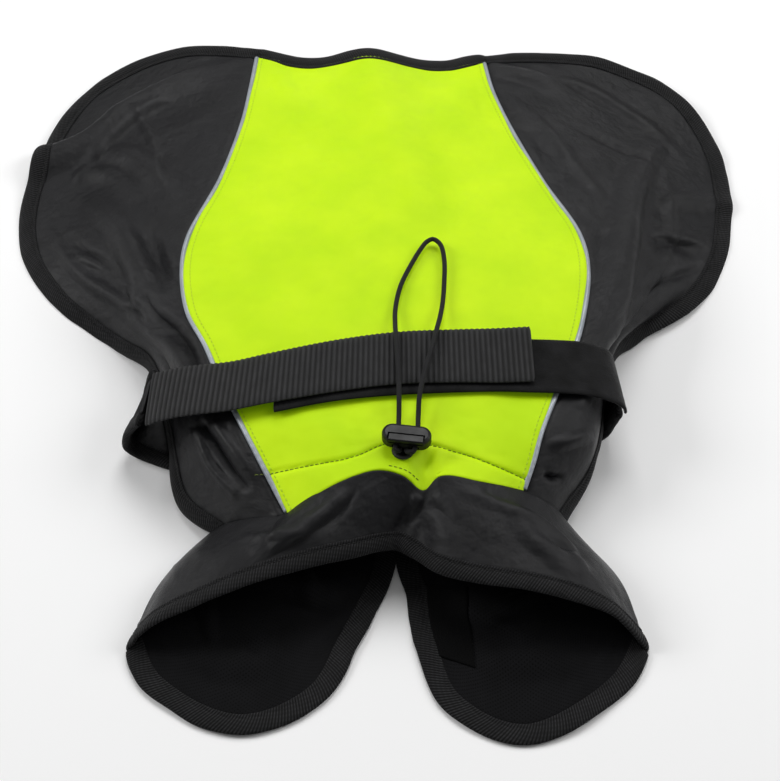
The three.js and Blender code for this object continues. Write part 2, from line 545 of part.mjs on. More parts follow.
// Oval prism with rounded edges, standing on its flat side.
function ovalBlock({ width, depth, height, bevel }) {
  const END_SEGMENTS = 7;
  const half = depth / 2 - bevel;
  const reach = width / 2 - depth / 2;
  const outline = new THREE.Shape();
  outline.absarc(reach, 0, half, -Math.PI / 2, Math.PI / 2);
  outline.absarc(-reach, 0, half, Math.PI / 2, (3 * Math.PI) / 2);
  return new THREE.ExtrudeGeometry(outline, {
    depth: height - 2 * bevel, bevelThickness: bevel, bevelSize: bevel, bevelSegments: 2,
    curveSegments: END_SEGMENTS, steps: 1,
  }).translate(0, 0, bevel);
}

const buttonY = -(LOCK.depth - BUTTON.depth) / 2; // flush with the lock's front face

function cordLockBody() {
  const BORE_SIDES = 14;
  const OVERCUT = 0.01; // so that the slot opens through the lock's top
  const slot = new THREE.BoxGeometry(
    BUTTON.width + 2 * SEAM_GAP, BUTTON.depth + 2 * SEAM_GAP, BUTTON.height + SEAM_GAP);
  const slotZ = LOCK.height - (BUTTON.height + SEAM_GAP) / 2 + OVERCUT;
  let body = cut(ovalBlock(LOCK), slot.translate(0, buttonY, slotZ));
  for (const x of [-LOCK_BORE.offset, LOCK_BORE.offset]) {
    const radius = LOCK_BORE.diameter / 2;
    const bore = new THREE.CylinderGeometry(radius, radius, 2 * LOCK.depth, BORE_SIDES);
    body = cut(body, bore.translate(x, 0, LOCK_BORE.height));
  }
  return body;
}

// The button fills the slot along the lock's top front edge.
function lockButton() {
  const { width, depth, height, bevel } = BUTTON;
  const face = new THREE.Shape();
  const [x, y] = [width / 2 - bevel, depth / 2 - bevel];
  face.moveTo(-x, -y).lineTo(x, -y).lineTo(x, y).lineTo(-x, y);
  return new THREE.ExtrudeGeometry(face, {
    depth: height - 2 * bevel, bevelThickness: bevel, bevelSize: bevel, bevelSegments: 1, steps: 1,
  }).translate(0, buttonY, LOCK.height - height + bevel);
}

// ---------------------------------------------------------------- scene graph
const CENTRING = { x: -0.2, y: -0.72 }; // puts the middle of the jacket over the origin
const jacket = new THREE.Group();
jacket.position.set(CENTRING.x, CENTRING.y, 0);

function sew(name, geometry, colour, roughness, metalness = 0) {
  const material = new THREE.MeshStandardMaterial({ color: colour, roughness, metalness });
  const mesh = new THREE.Mesh(geometry, material);
  mesh.name = name;
  jacket.add(mesh);
  return mesh;
}

const YELLOW = 0xc8f23a;
const BLACK = 0x17171a;
const LINING = 0x202024;
const TAPE_BLACK = 0x101012;
const REFLECTIVE = 0xa9b0b6;

sew('back_panel', cut(wall(backGrid, BACK_CLOTH, 1), eyeletHole()), YELLOW, 0.75);
sew('side_panel_left', wall(leftGrid, SIDE_CLOTH, -1), BLACK, 0.6);
sew('side_panel_right', wall(rightGrid, SIDE_CLOTH, 1), BLACK, 0.6);
sew('collar', wall(collarGrid, SIDE_CLOTH, 1), BLACK, 0.6);
sew('chest_flap_left', wall(leftFlapGrid, FLAP_CLOTH, 1), LINING, 0.85);
sew('chest_flap_right', wall(rightFlapGrid, FLAP_CLOTH, -1), LINING, 0.85);
sew('piping_left', pipingOn('left'), REFLECTIVE, 0.35, 0.4);
sew('piping_right', pipingOn('right'), REFLECTIVE, 0.35, 0.4);

const BLACK_TAPE = [TAPE_BLACK, 0.8];
const rearBinding = bindingOn(borderOf(backGrid, 1, firstRow), BINDING_WIDTH, BINDING, -1,
  { startTurn: seamEnd('left'), endTurn: seamEnd('right'), startOn: SEAM_RUN, endOn: SEAM_RUN });
sew('binding_rear', rearBinding, ...BLACK_TAPE);
sew('binding_left', sideBinding(leftGrid, -1, 'left', LEFT_NECK_END, 0), ...BLACK_TAPE);
sew('binding_right', sideBinding(rightGrid, 1, 'right', RIGHT_NECK_END, COLLAR.length - 1), ...BLACK_TAPE);
sew('binding_collar', bindingOn(borderOf(collarGrid, 1, firstColumn), BINDING_WIDTH, FLAP_BINDING, 1),
  ...BLACK_TAPE);
sew('binding_flap_left', flapBinding(leftFlapGrid, 1), ...BLACK_TAPE);
sew('binding_flap_right', flapBinding(rightFlapGrid, -1), ...BLACK_TAPE);

const band = loft(BAND, ['front', 'rear'], BAND_CELLS);
sew('belly_band', wall(band, BAND_CLOTH, 1), BLACK, 0.7);
sew('binding_band_front', bindingOn(borderOf(band, 1, firstColumn), BAND_BINDING_WIDTH, BINDING, 1),
  ...BLACK_TAPE);
sew('binding_band_rear', bindingOn(borderOf(band, 1, lastColumn), BAND_BINDING_WIDTH, BINDING, -1),
  ...BLACK_TAPE);
sew('strap_webbing', wall(strapGrid(WEBBING), WEBBING_THICKNESS, 1), TAPE_BLACK, 0.7);
sew('strap_loop_tape', wall(strapGrid(LOOP_TAPE), LOOP_TAPE_THICKNESS, 1), BLACK, 0.95);
sew('closure_patch', closurePatch(), BLACK, 0.95);

sew('eyelet', eyeletRing().translate(EYELET.x, EYELET.y, EYELET.z), TAPE_BLACK, 0.5);
const cordCurve = curveThrough(CORD_ROUTE.map(vector));
sew('drawcord', tube(cordCurve, CORD_DIAMETER, CORD_STEPS, CORD_SIDES), BLACK, 0.7);
const lock = sew('cord_lock', cordLockBody(), BLACK, 0.2);
const button = sew('cord_lock_button', lockButton(), BLACK, 0.2);
for (const mesh of [lock, button]) {
  mesh.position.set(LOCK.x, LOCK.y, LOCK.z);
  mesh.rotation.z = LOCK.turn;
}

export default jacket;
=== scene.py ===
# %% [markdown]
# # A dog's rain jacket, laid on its belly
# The jacket is cut from thin coated cloth: a bright back, black sides, a black collar that
# folds over into two chest flaps, and a belly band with a strap that closes over the back.
# Its cloth pieces are made here as thin walls.  Only the eyelet and the cord lock are stiff,
# and no piece has a joint.  The solid model gives the places; this script gives the cloth its looks.
# The first step loads that model.

# %% Load the solid model
import bpy
import numpy as np
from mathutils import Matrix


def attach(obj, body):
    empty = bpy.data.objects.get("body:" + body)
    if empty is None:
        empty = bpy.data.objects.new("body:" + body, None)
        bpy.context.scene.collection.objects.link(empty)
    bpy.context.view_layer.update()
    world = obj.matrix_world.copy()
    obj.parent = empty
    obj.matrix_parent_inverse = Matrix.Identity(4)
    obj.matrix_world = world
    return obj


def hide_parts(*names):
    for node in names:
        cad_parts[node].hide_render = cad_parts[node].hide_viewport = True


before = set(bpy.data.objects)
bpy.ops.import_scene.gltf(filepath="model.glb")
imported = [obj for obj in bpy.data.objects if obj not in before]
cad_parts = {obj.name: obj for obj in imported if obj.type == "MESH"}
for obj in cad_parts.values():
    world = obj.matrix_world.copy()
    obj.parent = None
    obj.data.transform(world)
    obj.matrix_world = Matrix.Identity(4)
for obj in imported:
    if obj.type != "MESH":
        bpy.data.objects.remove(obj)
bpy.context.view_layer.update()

# %% [markdown]
# The maker's tables are in millimetres from a point under the middle of the jacket, and the
# model was then centred on its box.  One small helper turns such a table into metres at the
# same place, so that the numbers below are in a maker's unit.

# %% Millimetres to metres
MM = 0.001
CENTRING = np.array([-0.2, -0.72, 0.0])

def placed(points):
    return (np.asarray(points, float) + CENTRING) * MM

# %% [markdown]
# The camera comes first, with the drawcord, because both fix what will be in view.  The
# jacket is looked at from its neck end, well above the surface, through a long lens, so that
# the far hem is hardly smaller than the near flaps.

# %% Camera
ELEVATION = np.radians(52.0)
DISTANCE = 1.0
AIM = np.array([0.0068, -0.02422, 0.0])
camera = bpy.data.objects.new("camera", bpy.data.cameras.new("camera"))
bpy.context.scene.collection.objects.link(camera)
camera.data.sensor_width = 36.0
camera.data.lens = 90.46
camera.location = AIM + DISTANCE * np.array([0.0, -np.cos(ELEVATION), np.sin(ELEVATION)])
camera.rotation_euler = (np.pi / 2 - ELEVATION, 0.0, 0.0)
bpy.context.scene.camera = camera
print("camera stands at", [round(v, 3) for v in camera.location])

# %% [markdown]
# Cloth is drawn by curves that pass through given points.  A smooth curve through points
# is one formula for each stretch between two of them: it leaves and arrives in directions
# that the neighbours set, with the square root of the distances as weights, so tight corners
# don't overshoot.  Written with arrays it bends a whole row of lines at once.

# %% Curves through points
def through(points, where):
    """The smooth curve through points at the shares `where`; points may be rows of lines."""
    points = np.asarray(points, float)
    spans = len(points) - 1
    place = np.clip(np.asarray(where, float) * spans, 0, spans)
    start = np.minimum(place.astype(int), spans - 1)
    w = (place - start).reshape((-1,) + (1,) * (points.ndim - 1))
    padded = np.concatenate([[2 * points[0] - points[1]], points, [2 * points[-1] - points[-2]]])
    p0, p1, p2, p3 = (padded[start + k] for k in range(4))
    root = lambda a, b: np.maximum(np.linalg.norm(b - a, axis=-1, keepdims=True), 1e-12) ** 0.5
    d0, d1, d2 = root(p0, p1), root(p1, p2), root(p2, p3)
    leave = ((p1 - p0) / d0 - (p2 - p0) / (d0 + d1) + (p2 - p1) / d1) * d1
    arrive = ((p2 - p1) / d1 - (p3 - p1) / (d1 + d2) + (p3 - p2) / d2) * d1
    return (p1 + leave * w + (3 * (p2 - p1) - 2 * leave - arrive) * w ** 2
            + (2 * (p1 - p2) + leave + arrive) * w ** 3)

def unit(vectors):
    return vectors / np.maximum(np.linalg.norm(vectors, axis=-1, keepdims=True), 1e-12)

def run_of(line):
    """How far along a line each of its points is."""
    return np.concatenate([[0], np.cumsum(np.linalg.norm(np.diff(line, axis=0), axis=1))])

def evenly(line, count):
    """The same line with `count` evenly spaced points."""
    run = run_of(line)
    at = np.linspace(0, run[-1], count)
    return np.stack([np.interp(at, run, line[:, k]) for k in range(3)], 1)

# %% [markdown]
# ## The drawcord
# A black elastic cord comes out of an eyelet at the neck, passes through the cord lock, lies
# over the closing strap, makes one loose loop on the back and returns the same way.  Its route
# is settled here; the braided tube itself is made further down, once there is a helper that
# carries an outline along a line.

# %% Route of the drawcord
CORD_ROUTE = placed([
    [11.7, -93.4, 43], [11.6, -94.1, 45], [11, -96, 46.9], [9.8, -96.4, 48], [9.5, -94.4, 48],
    [10.9, -83.9, 48], [11.2, -77, 48.8], [11.3, -68, 51.6], [11.1, -54, 52.3], [10.4, -40, 52.3],
    [9.8, -29, 51.7], [9.5, -20, 49], [9.7, -8, 46.4], [12.4, 8, 45.2], [18, 23.5, 44.2],
    [22.6, 34, 43.4], [25.8, 39.6, 42.9], [29, 41.6, 42.8], [32.6, 38, 43], [34.5, 27, 43.8],
    [34.2, 10, 45.1], [33.2, -4, 46.3], [31.6, -16, 49], [29.6, -27, 51.9], [26.8, -40, 52.5],
    [23.4, -54, 52.3], [20.9, -68, 51.6], [20.4, -77, 48.8], [20, -85.1, 48], [18.7, -95.3, 48],
    [17.8, -97.2, 48], [15.2, -96.5, 46.9], [14.6, -94.2, 45], [14.5, -93.4, 43]])
CORD_DIAMETER = 0.0024
cord_line = through(CORD_ROUTE, np.linspace(0, 1, 400))

# %% [markdown]
# ## Cloth from sections
# A sewn panel isn't flat, so it is drawn like a boat's hull: a row of points for each section
# from the hem to the neck, smooth curves through the rows, and a net of points stretched
# between them.  Every panel of the jacket is such a net.  Where two panels are sewn together
# the last rows of the net are pulled on to the shared seam.

# %% Nets of points
def loft(rows, along, across, first=0.0, last=0.0):
    """A net over a table of sections, with `first` and `last` left off at the two sides."""
    guides = through(rows, np.linspace(0, 1, along + 1))
    fine = through(np.swapaxes(guides, 0, 1), np.linspace(0, 1, 201))
    net = np.empty((along + 1, across + 1, 3))
    for i in range(along + 1):
        run = run_of(fine[:, i])
        at = np.linspace(first, run[-1] - last, across + 1)
        net[i] = np.stack([np.interp(at, run, fine[:, i, k]) for k in range(3)], 1)
    return net

def sewn_to(net, line, share):
    """Pulls the last rows of a net on to a line, fading over a share of the rows."""
    weight = np.clip((np.linspace(0, 1, len(net)) - (1 - share)) / share, 0, 1) ** 2
    return net + weight[:, None, None] * (line - net[-1])[None]

def normals_of(net, side):
    """Which way each point of a net faces."""
    cells = np.cross(net[1:, :-1] - net[:-1, 1:], net[1:, 1:] - net[:-1, :-1])
    total = np.zeros_like(net)
    for i in (slice(0, -1), slice(1, None)):
        for j in (slice(0, -1), slice(1, None)):
            total[i, j] += cells
    return side * unit(total)

# %% [markdown]
# ## Folds
# Worn cloth has a few large folds and many small creases.  Each is drawn as a line on the
# cloth with a height and a width to either side, and the cloth near the line is lifted into
# a soft ridge, or pressed into a trough where the height is negative.  `lean` pushes the
# crest sideways, to the left of the line's direction, until it overhangs like a real pleat.
# The large folds are rows of points in millimetres.  The small creases of the sides, collar
# and flaps are placed by shares along and across their panel, so their places are
# approximate.  A simulation would be another way, but its folds would fall where they like.

# %% Folds along lines
FOLD_STEPS = 16
NEAR_CLOTH = 6 * MM         # a line this close above or below the cloth counts as on it

def pleat(height, left, right, *line, ends=(0, 0), lean=0.0):
    """A fold's row: height, half-widths, the points of its line, all in millimetres."""
    return dict(line=placed(line), height=height, left=left, right=right, ends=ends, lean=lean)

def crease(height, width, start, end, bow=0.0, ends=(0, 0), lean=0.0):
    """A small fold's row: its ends are shares of the panel, along and across it."""
    return dict(height=height, left=width, right=width, start=start, end=end, bow=bow,
                ends=ends, lean=lean)

def drawn_on(net, creases):
    """The creases as lines on the panel's own cloth."""
    rows = []
    share = np.linspace(0, 1, 5)[:, None]
    for row in creases:
        start, end = np.array(row["start"]), np.array(row["end"])
        across = np.array([start[1] - end[1], end[0] - start[0]])
        place = start + share * (end - start) + row["bow"] * np.sin(np.pi * share) * across
        cell = np.rint(np.clip(place, 0, 1) * (np.array(net.shape[:2]) - 1)).astype(int)
        kept = {key: row[key] for key in ("height", "left", "right", "ends", "lean")}
        rows.append(dict(kept, line=net[cell[:, 0], cell[:, 1]]))
    return rows

def fold_lift(net, normals, line, height, left, right, ends=(0, 0), lean=0.0, crisp=0.0):
    path = through(line, np.linspace(0, 1, FOLD_STEPS + 1))
    runs = np.diff(path, axis=0)
    away = net[..., None, :] - path[:-1]
    share = np.clip((away * runs).sum(-1) / (runs * runs).sum(-1), 0, 1)
    offset = away - share[..., None] * runs
    height_off = (offset * normals[..., None, :]).sum(-1)
    offset = offset - height_off[..., None] * normals[..., None, :]
    distance = np.linalg.norm(offset, axis=-1) + 3 * np.maximum(np.abs(height_off) - NEAR_CLOTH, 0)
    best = distance.argmin(-1)[..., None]
    pick = lambda values: np.take_along_axis(values, best, -1)[..., 0]
    offset = np.take_along_axis(offset, best[..., None], -2)[..., 0, :]
    place = (best[..., 0] + pick(share)) / FOLD_STEPS
    leftward = np.cross(normals, runs[best[..., 0]])
    on_left = (leftward * offset).sum(-1) > 0
    reach = np.minimum(pick(distance) / (np.where(on_left, left, right) * MM), 1)
    end = np.where(place < 0.5, ends[0], ends[1])
    size = end + (1 - end) * np.sin(np.pi * place)
    shape = (1 - crisp) * (1 - reach ** 2) ** 2 + crisp * (1 - reach) ** 1.6
    size = size * shape
    return (normals * height + unit(leftward) * lean) * MM * size[..., None]

def folded(net, folds, side, crisp=0.0, free=1.0):
    """The net with its folds; `free` is 0 where the cloth is held and can't move."""
    normals = normals_of(net, side)
    moved = net + free * sum(fold_lift(net, normals, crisp=crisp, **fold) for fold in folds)
    moved[..., 2] = np.maximum(moved[..., 2], 0)
    return moved

# %% [markdown]
# A seam or a sewn tape holds its cloth, so the smaller creases die away towards them.

# %% Where the cloth is held
def easing(distance, reach):
    share = np.clip(distance / (reach * MM), 0, 1)
    return share * share * (3 - 2 * share)

def freedom(net, seam=0, tape=0, least=0.0):
    """0 at the first column (a seam) and `least` at the last column (a taped edge), 1 between."""
    across = np.concatenate([np.zeros((len(net), 1)),
                             np.cumsum(np.linalg.norm(np.diff(net, axis=1), axis=2), axis=1)], 1)
    held = easing(across, seam) if seam else np.ones(across.shape)
    bound = easing(across[:, -1:] - across, tape) if tape else np.ones(across.shape)
    return (held * (least + (1 - least) * bound))[..., None]

def seam_dip(seam, net, depth, reach):
    """How far the cloth sinks into a seam: `depth` at the seam, nothing beyond `reach`."""
    run = np.linalg.norm(net - seam[:, None], axis=2)
    return (depth * MM * (1 - easing(run, reach)))[..., None]

def eased_hem(net, reach, fade, kept=()):
    """Rounds a side's hem, its first row and last column, leaving the kept places alone."""
    hem = np.concatenate([net[0], net[1:, -1]])
    run = run_of(hem)
    near = np.exp(-((run[:, None] - run) / (reach * MM)) ** 2)
    near = near / near.sum(1, keepdims=True)
    hold = np.minimum(run, run[-1] - run)
    for place in placed(list(kept)) if len(kept) else []:
        hold = np.minimum(hold, np.linalg.norm(hem - place, axis=1))
    shift = (near @ hem - hem) * easing(hold, 2 * reach)[:, None]
    shift[:, 2] = 0
    along = np.clip(1 - run_of(net.mean(1)) / (fade * MM), 0, 1)[:, None, None] ** 2
    inward = run_of(net.mean(0))
    across = np.clip(1 - (inward[-1] - inward) / (fade * MM), 0, 1)[None, :, None] ** 2
    columns = net.shape[1]
    return (net + shift[:columns][None] * along + shift[columns - 1:][:, None] * across
            - shift[columns - 1] * along * across)

# %% [markdown]
# Between the folds the cloth is never quite flat.  A sum of a few long waves in random
# directions gives that gentle unevenness, and the sharp zero lines of such a sum give the
# crinkles of coated cloth.  The directions come from a seeded generator, so the jacket is the
# same every time.

# %% Soft unevenness
def waves(points, size, seed, count=7):
    """Smooth noise between about -1 and 1 with bumps of about `size` millimetres."""
    chance = np.random.RandomState(seed)
    total = 0
    for _ in range(count):
        direction = unit(chance.normal(size=3)) * chance.uniform(0.7, 1.4)
        total = total + np.sin(points @ direction * np.pi / (size * MM) + chance.uniform(0, 6.3))
    return total / count ** 0.5

def uneven(net, side, soft=0.5, crinkle=0.25, seed=1):
    lift = soft * waves(net, 26, seed) + 0.5 * soft * waves(net, 13, seed + 1)
    bent = net + 0.004 * waves(net, 30, seed + 2)[..., None]
    ridge = 1 - np.minimum(np.abs(waves(bent, 17, seed + 3)) * 2.2, 1)
    where = np.clip(waves(net, 45, seed + 4) + 0.2, 0, 1)
    lift = lift + crinkle * ridge ** 2 * where
    moved = net + normals_of(net, side) * (lift * MM)[..., None]
    moved[..., 2] = np.maximum(moved[..., 2], 0)
    return moved

# %% [markdown]
# ## Walls of cloth
# A net has no thickness, but cloth has, and its edge is seen wherever it isn't bound.  The
# net is doubled: one layer for the lining, one for the outside, and between them a rounded
# edge.  The two layers get their own materials.  Every point also remembers where it lies on
# the flat cloth before sewing, so that weave and ribs follow the cloth through its folds.

# %% Make a closed wall
def mesh_piece(name, points, faces, cut, finishes=None, materials=()):
    """A mesh object with smooth faces and an attribute `cut`: its place on the flat cloth."""
    data = bpy.data.meshes.new(name)
    data.from_pydata(points.tolist(), [], faces)
    a, b, c = (points[[face[k] for face in faces]] for k in range(3))
    d = points[[face[-1] for face in faces]]
    volume = (a * np.cross(b, c)).sum() + (a * np.cross(c, d)).sum()
    if volume < 0:
        data.flip_normals()
    data.polygons.foreach_set("use_smooth", [True] * len(faces))
    if finishes is not None:
        data.polygons.foreach_set("material_index", finishes)
    data.attributes.new("cut", "FLOAT_VECTOR", "POINT").data.foreach_set("vector", cut.ravel())
    for material in materials:
        data.materials.append(material)
    piece = bpy.data.objects.new(name, data)
    bpy.context.scene.collection.objects.link(piece)
    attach(piece, "root")
    return piece

def cut_places(net):
    """Where each point of a net lies on the flat cloth: across, along."""
    across = np.concatenate([np.zeros((len(net), 1)),
                             np.cumsum(np.linalg.norm(np.diff(net, axis=1), axis=2), axis=1)], 1)
    along = run_of(net.mean(1))
    across = across - across.mean(1, keepdims=True)
    return np.stack([across, np.broadcast_to(along[:, None], across.shape), 0 * across], 2)

def edge_loop(rows, columns):
    """Indices round a net's edge, and the neighbours just inside them."""
    index = np.arange(rows * columns).reshape(rows, columns)
    loop = np.concatenate([index[0, :-1], index[:-1, -1], index[-1, :0:-1], index[:0:-1, 0]])
    i, j = np.divmod(loop, columns)
    inside = index[np.clip(i, 1, rows - 2), np.clip(j, 1, columns - 2)]
    return loop, inside

def wall(name, net, thickness, side, materials, base=0.0):
    """A closed wall on a net: lining below, cloth above, rounded edge."""
    rows, columns = net.shape[:2]
    normals = normals_of(net, side)
    thickness = np.broadcast_to(np.asarray(thickness, float), (rows, columns))[..., None]
    inner = net + normals * base
    outer = net + normals * (base + thickness)
    loop, inside = edge_loop(rows, columns)
    flat_in, flat_out = inner.reshape(-1, 3), outer.reshape(-1, 3)
    away = unit(flat_in[loop] - flat_in[inside])
    rim = (flat_in[loop] + flat_out[loop]) / 2 + away * thickness.reshape(-1, 1)[loop] * 0.4
    points = np.concatenate([flat_in, flat_out, rim])
    points[:, 2] = np.maximum(points[:, 2], 0)
    place = cut_places(net).reshape(-1, 3)
    cut = np.concatenate([place, place, place[loop]])
    count = rows * columns
    index = np.arange(count).reshape(rows, columns)
    quads = np.stack([index[:-1, :-1], index[:-1, 1:], index[1:, 1:], index[1:, :-1]], 2).reshape(-1, 4)
    after = np.roll(loop, -1)
    ring = 2 * count + np.arange(len(loop))
    ring_after = np.roll(ring, -1)
    low = np.stack([after, loop, ring, ring_after], 1)
    high = np.stack([ring_after, ring, count + loop, count + after], 1)
    faces = np.concatenate([quads, quads[:, ::-1] + count, low, high])
    finishes = np.concatenate([np.ones(len(quads)), np.zeros(len(quads) + 2 * len(loop))]).astype(int)
    return mesh_piece(name, points, faces.tolist(), cut, finishes, materials)

# %% [markdown]
# Tapes, piping and straps all have the same outline from end to end.  They are made by
# carrying that outline along a line, with the cloth's own directions as its sides.

# %% Carry an outline along a line
def carried(name, line, across, up, outline, materials, floor=True):
    """A closed body: outline (points of the line, corners, 2) carried along the line."""
    steps, corners = len(line), outline.shape[-2]
    outline = np.broadcast_to(outline, (steps, corners, 2))
    body = line[:, None] + across[:, None] * outline[..., :1] + up[:, None] * outline[..., 1:]
    if floor:
        body[..., 2] = np.maximum(body[..., 2], 0.0001)
    ends = np.stack([body[0].mean(0), body[-1].mean(0)])
    points = np.concatenate([body.reshape(-1, 3), ends])
    round_it = np.concatenate([[0], np.cumsum(np.linalg.norm(np.diff(outline[steps // 2], axis=0), axis=1))])
    run = run_of(line)
    cut = np.stack([np.broadcast_to(round_it, (steps, corners)),
                    np.broadcast_to(run[:, None], (steps, corners)),
                    outline[..., 1]], 2).reshape(-1, 3)
    cut = np.concatenate([cut, [[0, 0, 0], [0, run[-1], 0]]])
    index = np.arange(steps * corners).reshape(steps, corners)
    turn = np.roll(index, -1, axis=1)
    faces = np.stack([index[:-1], turn[:-1], turn[1:], index[1:]], 2).reshape(-1, 4).tolist()
    first, last = steps * corners, steps * corners + 1
    faces += [[first, turn[0, k], index[0, k]] for k in range(corners)]
    faces += [[last, index[-1, k], turn[-1, k]] for k in range(corners)]
    return mesh_piece(name, points, faces, cut, None, materials)

# %% [markdown]
# ## Finishes
# A finish is a small network of nodes.  All of them read `cut`, the place on the flat cloth,
# so that threads run along the cloth and not along the room.  A few helpers keep the
# networks short: one adds a node, one makes stripes with a pitch in millimetres, one mixes
# two colours, and one turns a pattern into relief.

# %% Helpers for finishes
def add(tree, kind, settings=None, output=0, **inputs):
    """Adds a shader node; inputs named by word or, as _0, _1, by number."""
    made = tree.nodes.new("ShaderNode" + kind)
    for key, value in (settings or {}).items():
        setattr(made, key, value)
    for key, value in inputs.items():
        socket = made.inputs[int(key[1:])] if key[0] == "_" else made.inputs[key.replace("_", " ")]
        if isinstance(value, bpy.types.NodeSocket):
            tree.links.new(value, socket)
        else:
            socket.default_value = value
    return made.outputs[output]

def maths(tree, operation, *values):
    return add(tree, "Math", {"operation": operation}, **{f"_{k}": v for k, v in enumerate(values)})

def stripes(tree, place, direction, pitch, shift=0.0):
    """A wave from 0 to 1 with a crest every `pitch` millimetres along a direction."""
    turns = 2 * np.pi / (pitch * MM * np.linalg.norm(direction))
    along = add(tree, "VectorMath", {"operation": "DOT_PRODUCT"}, "Value",
                _0=place, _1=[float(v) * turns for v in direction])
    wave = maths(tree, "SINE", maths(tree, "ADD", along, shift))
    return maths(tree, "MULTIPLY_ADD", wave, 0.5, 0.5)

def cloud(tree, place, size, detail=2.0):
    """Soft noise between 0 and 1 with patches of about `size` millimetres."""
    return add(tree, "TexNoise", None, 0, Vector=place, Scale=1 / (size * MM), Detail=detail)

def mixed(tree, share, first, second):
    return add(tree, "Mix", {"data_type": "RGBA"}, 2, _0=share, _6=first, _7=second)

def spread(tree, value, low, high, out_low=0.0, out_high=1.0):
    return add(tree, "MapRange", {"clamp": True}, 0, _0=value, _1=low, _2=high, _3=out_low, _4=out_high)

def relief(tree, layers):
    """Stacks bumps: each layer is a pattern from 0 to 1 and its depth in millimetres."""
    normal = None
    for pattern, depth in layers:
        above = {} if normal is None else {"Normal": normal}
        normal = add(tree, "Bump", None, 0, Strength=1.0, Distance=depth * MM, Height=pattern, **above)
    return normal

def grey(value, tint=0.0):
    return (value, value, value * (1 + tint), 1.0)

def finish(name, own=True, **sockets):
    """A material with its tree, its shader and the place on the cloth (or in the object)."""
    material = bpy.data.materials.new(name)
    material.use_nodes = True
    tree = material.node_tree
    shader = tree.nodes["Principled BSDF"]
    for key, value in sockets.items():
        shader.inputs[key.replace("_", " ")].default_value = value
    place = (add(tree, "Attribute", {"attribute_name": "cut"}, "Vector") if own
             else add(tree, "TexCoord", None, "Object"))
    def use(**values):
        for key, value in values.items():
            tree.links.new(value, shader.inputs[key.replace("_", " ")])
    return material, tree, place, use

# %% [markdown]
# The two coated cloths are the same close plain weave, about three threads to a millimetre,
# under a soft coating.  The bright one is dyed with a fluorescent yellow-green; a faint
# emission, a painted glow that shines even where no lamp reaches, stands in for the extra
# light that such a dye gives back.  The coating shows as small uneven dents, wider than the weave.

# %% Coated cloths
def weave(tree, place, pitch):
    warp, weft = stripes(tree, place, (1, 0, 0), pitch), stripes(tree, place, (0, 1, 0), pitch)
    return maths(tree, "MULTIPLY", warp, weft)

# painted glow: the emission makes the bright cloth shine a little even where no lamp reaches
yellow_cloth, tree, place, use = finish("hi_vis_cloth", Roughness=0.5, Specular_IOR_Level=0.14,
                                        Emission_Color=(0.45, 1.0, 0.0, 1.0), Emission_Strength=0.06)
worn = spread(tree, cloud(tree, place, 38, 3.0), 0.35, 0.7)
dyed = mixed(tree, worn, (0.50, 0.77, 0.002, 1), (0.60, 0.85, 0.005, 1))
threads = weave(tree, place, 0.36)
use(Base_Color=mixed(tree, maths(tree, "MULTIPLY", threads, 0.12), dyed, (0.60, 0.86, 0.03, 1)),
    Normal=relief(tree, [(cloud(tree, place, 24, 2.0), 2.2), (cloud(tree, place, 6, 2.0), 0.10),
                         (threads, 0.05)]))

black_cloth, tree, place, use = finish("black_coated_cloth", Specular_IOR_Level=0.24,
                                       Sheen_Weight=0.02, Sheen_Roughness=0.4)
worn = spread(tree, cloud(tree, place, 30, 3.0), 0.3, 0.7)
threads = weave(tree, place, 0.36)
dyed = mixed(tree, worn, grey(0.004, 0.15), grey(0.0065, 0.2))
use(Base_Color=mixed(tree, maths(tree, "MULTIPLY", threads, 0.3), dyed, grey(0.012, 0.15)),
    Roughness=spread(tree, cloud(tree, place, 12, 3.0), 0.3, 0.7, 0.36, 0.46),
    Normal=relief(tree, [(cloud(tree, place, 16, 3.0), 1.7), (cloud(tree, place, 4, 2.0), 0.10),
                         (threads, 0.05)]))
print("coated cloths: weave pitch 0.36 mm")

# %% [markdown]
# The lining is a knitted mesh: three sets of stripes at sixty degrees leave small round holes
# between them.  Its greys are set very dark: the mesh is black, and the extra darkness is painted
# shade for the chest flaps, which lie in the collar's shade.  The tape is a fine twill, seen as
# slanting ridges, painted lighter than its grooves as painted highlight and shade.  The webbing's
# ribs are modelled; its finish adds the threads that wrap each rib, and paints the rib crests
# lighter and the gaps darker, as painted highlight and shade.  The loop tape has a short pile
# that catches light at its tips, which is what sheen is for.

# %% Lining, tape, webbing and pile
mesh_lining, tree, place, use = finish("mesh_lining", Roughness=0.85, Specular_IOR_Level=0.08,
                                       Sheen_Weight=0.02, Sheen_Roughness=0.6)
knit = maths(tree, "ADD", maths(tree, "ADD", stripes(tree, place, (1, 0, 0), 1.25),
                                stripes(tree, place, (0.5, 0.87, 0), 1.25)),
             stripes(tree, place, (-0.5, 0.87, 0), 1.25))
holes = spread(tree, knit, 1.9, 2.35)
worn = spread(tree, cloud(tree, place, 22, 3.0), 0.3, 0.7, 0.6, 1.05)
# painted shade: the lining's greys are set very dark to stand in for the collar's shade over the chest flaps
shade = mixed(tree, holes, grey(0.006, 0.15), grey(0.002))
tinted = add(tree, "VectorMath", {"operation": "SCALE"}, 0, _0=shade, Scale=worn)
use(Base_Color=tinted, Normal=relief(tree, [(cloud(tree, place, 16, 2.0), 1.0),
                                            (maths(tree, "SUBTRACT", 1.0, holes), 0.15)]))

def twill(tree, place, pitch):
    slant = stripes(tree, place, (0.45, 1, 0), pitch)
    cross = stripes(tree, place, (1, -0.3, 0), pitch * 1.7)
    return maths(tree, "MULTIPLY", slant, maths(tree, "MULTIPLY_ADD", cross, 0.4, 0.6))

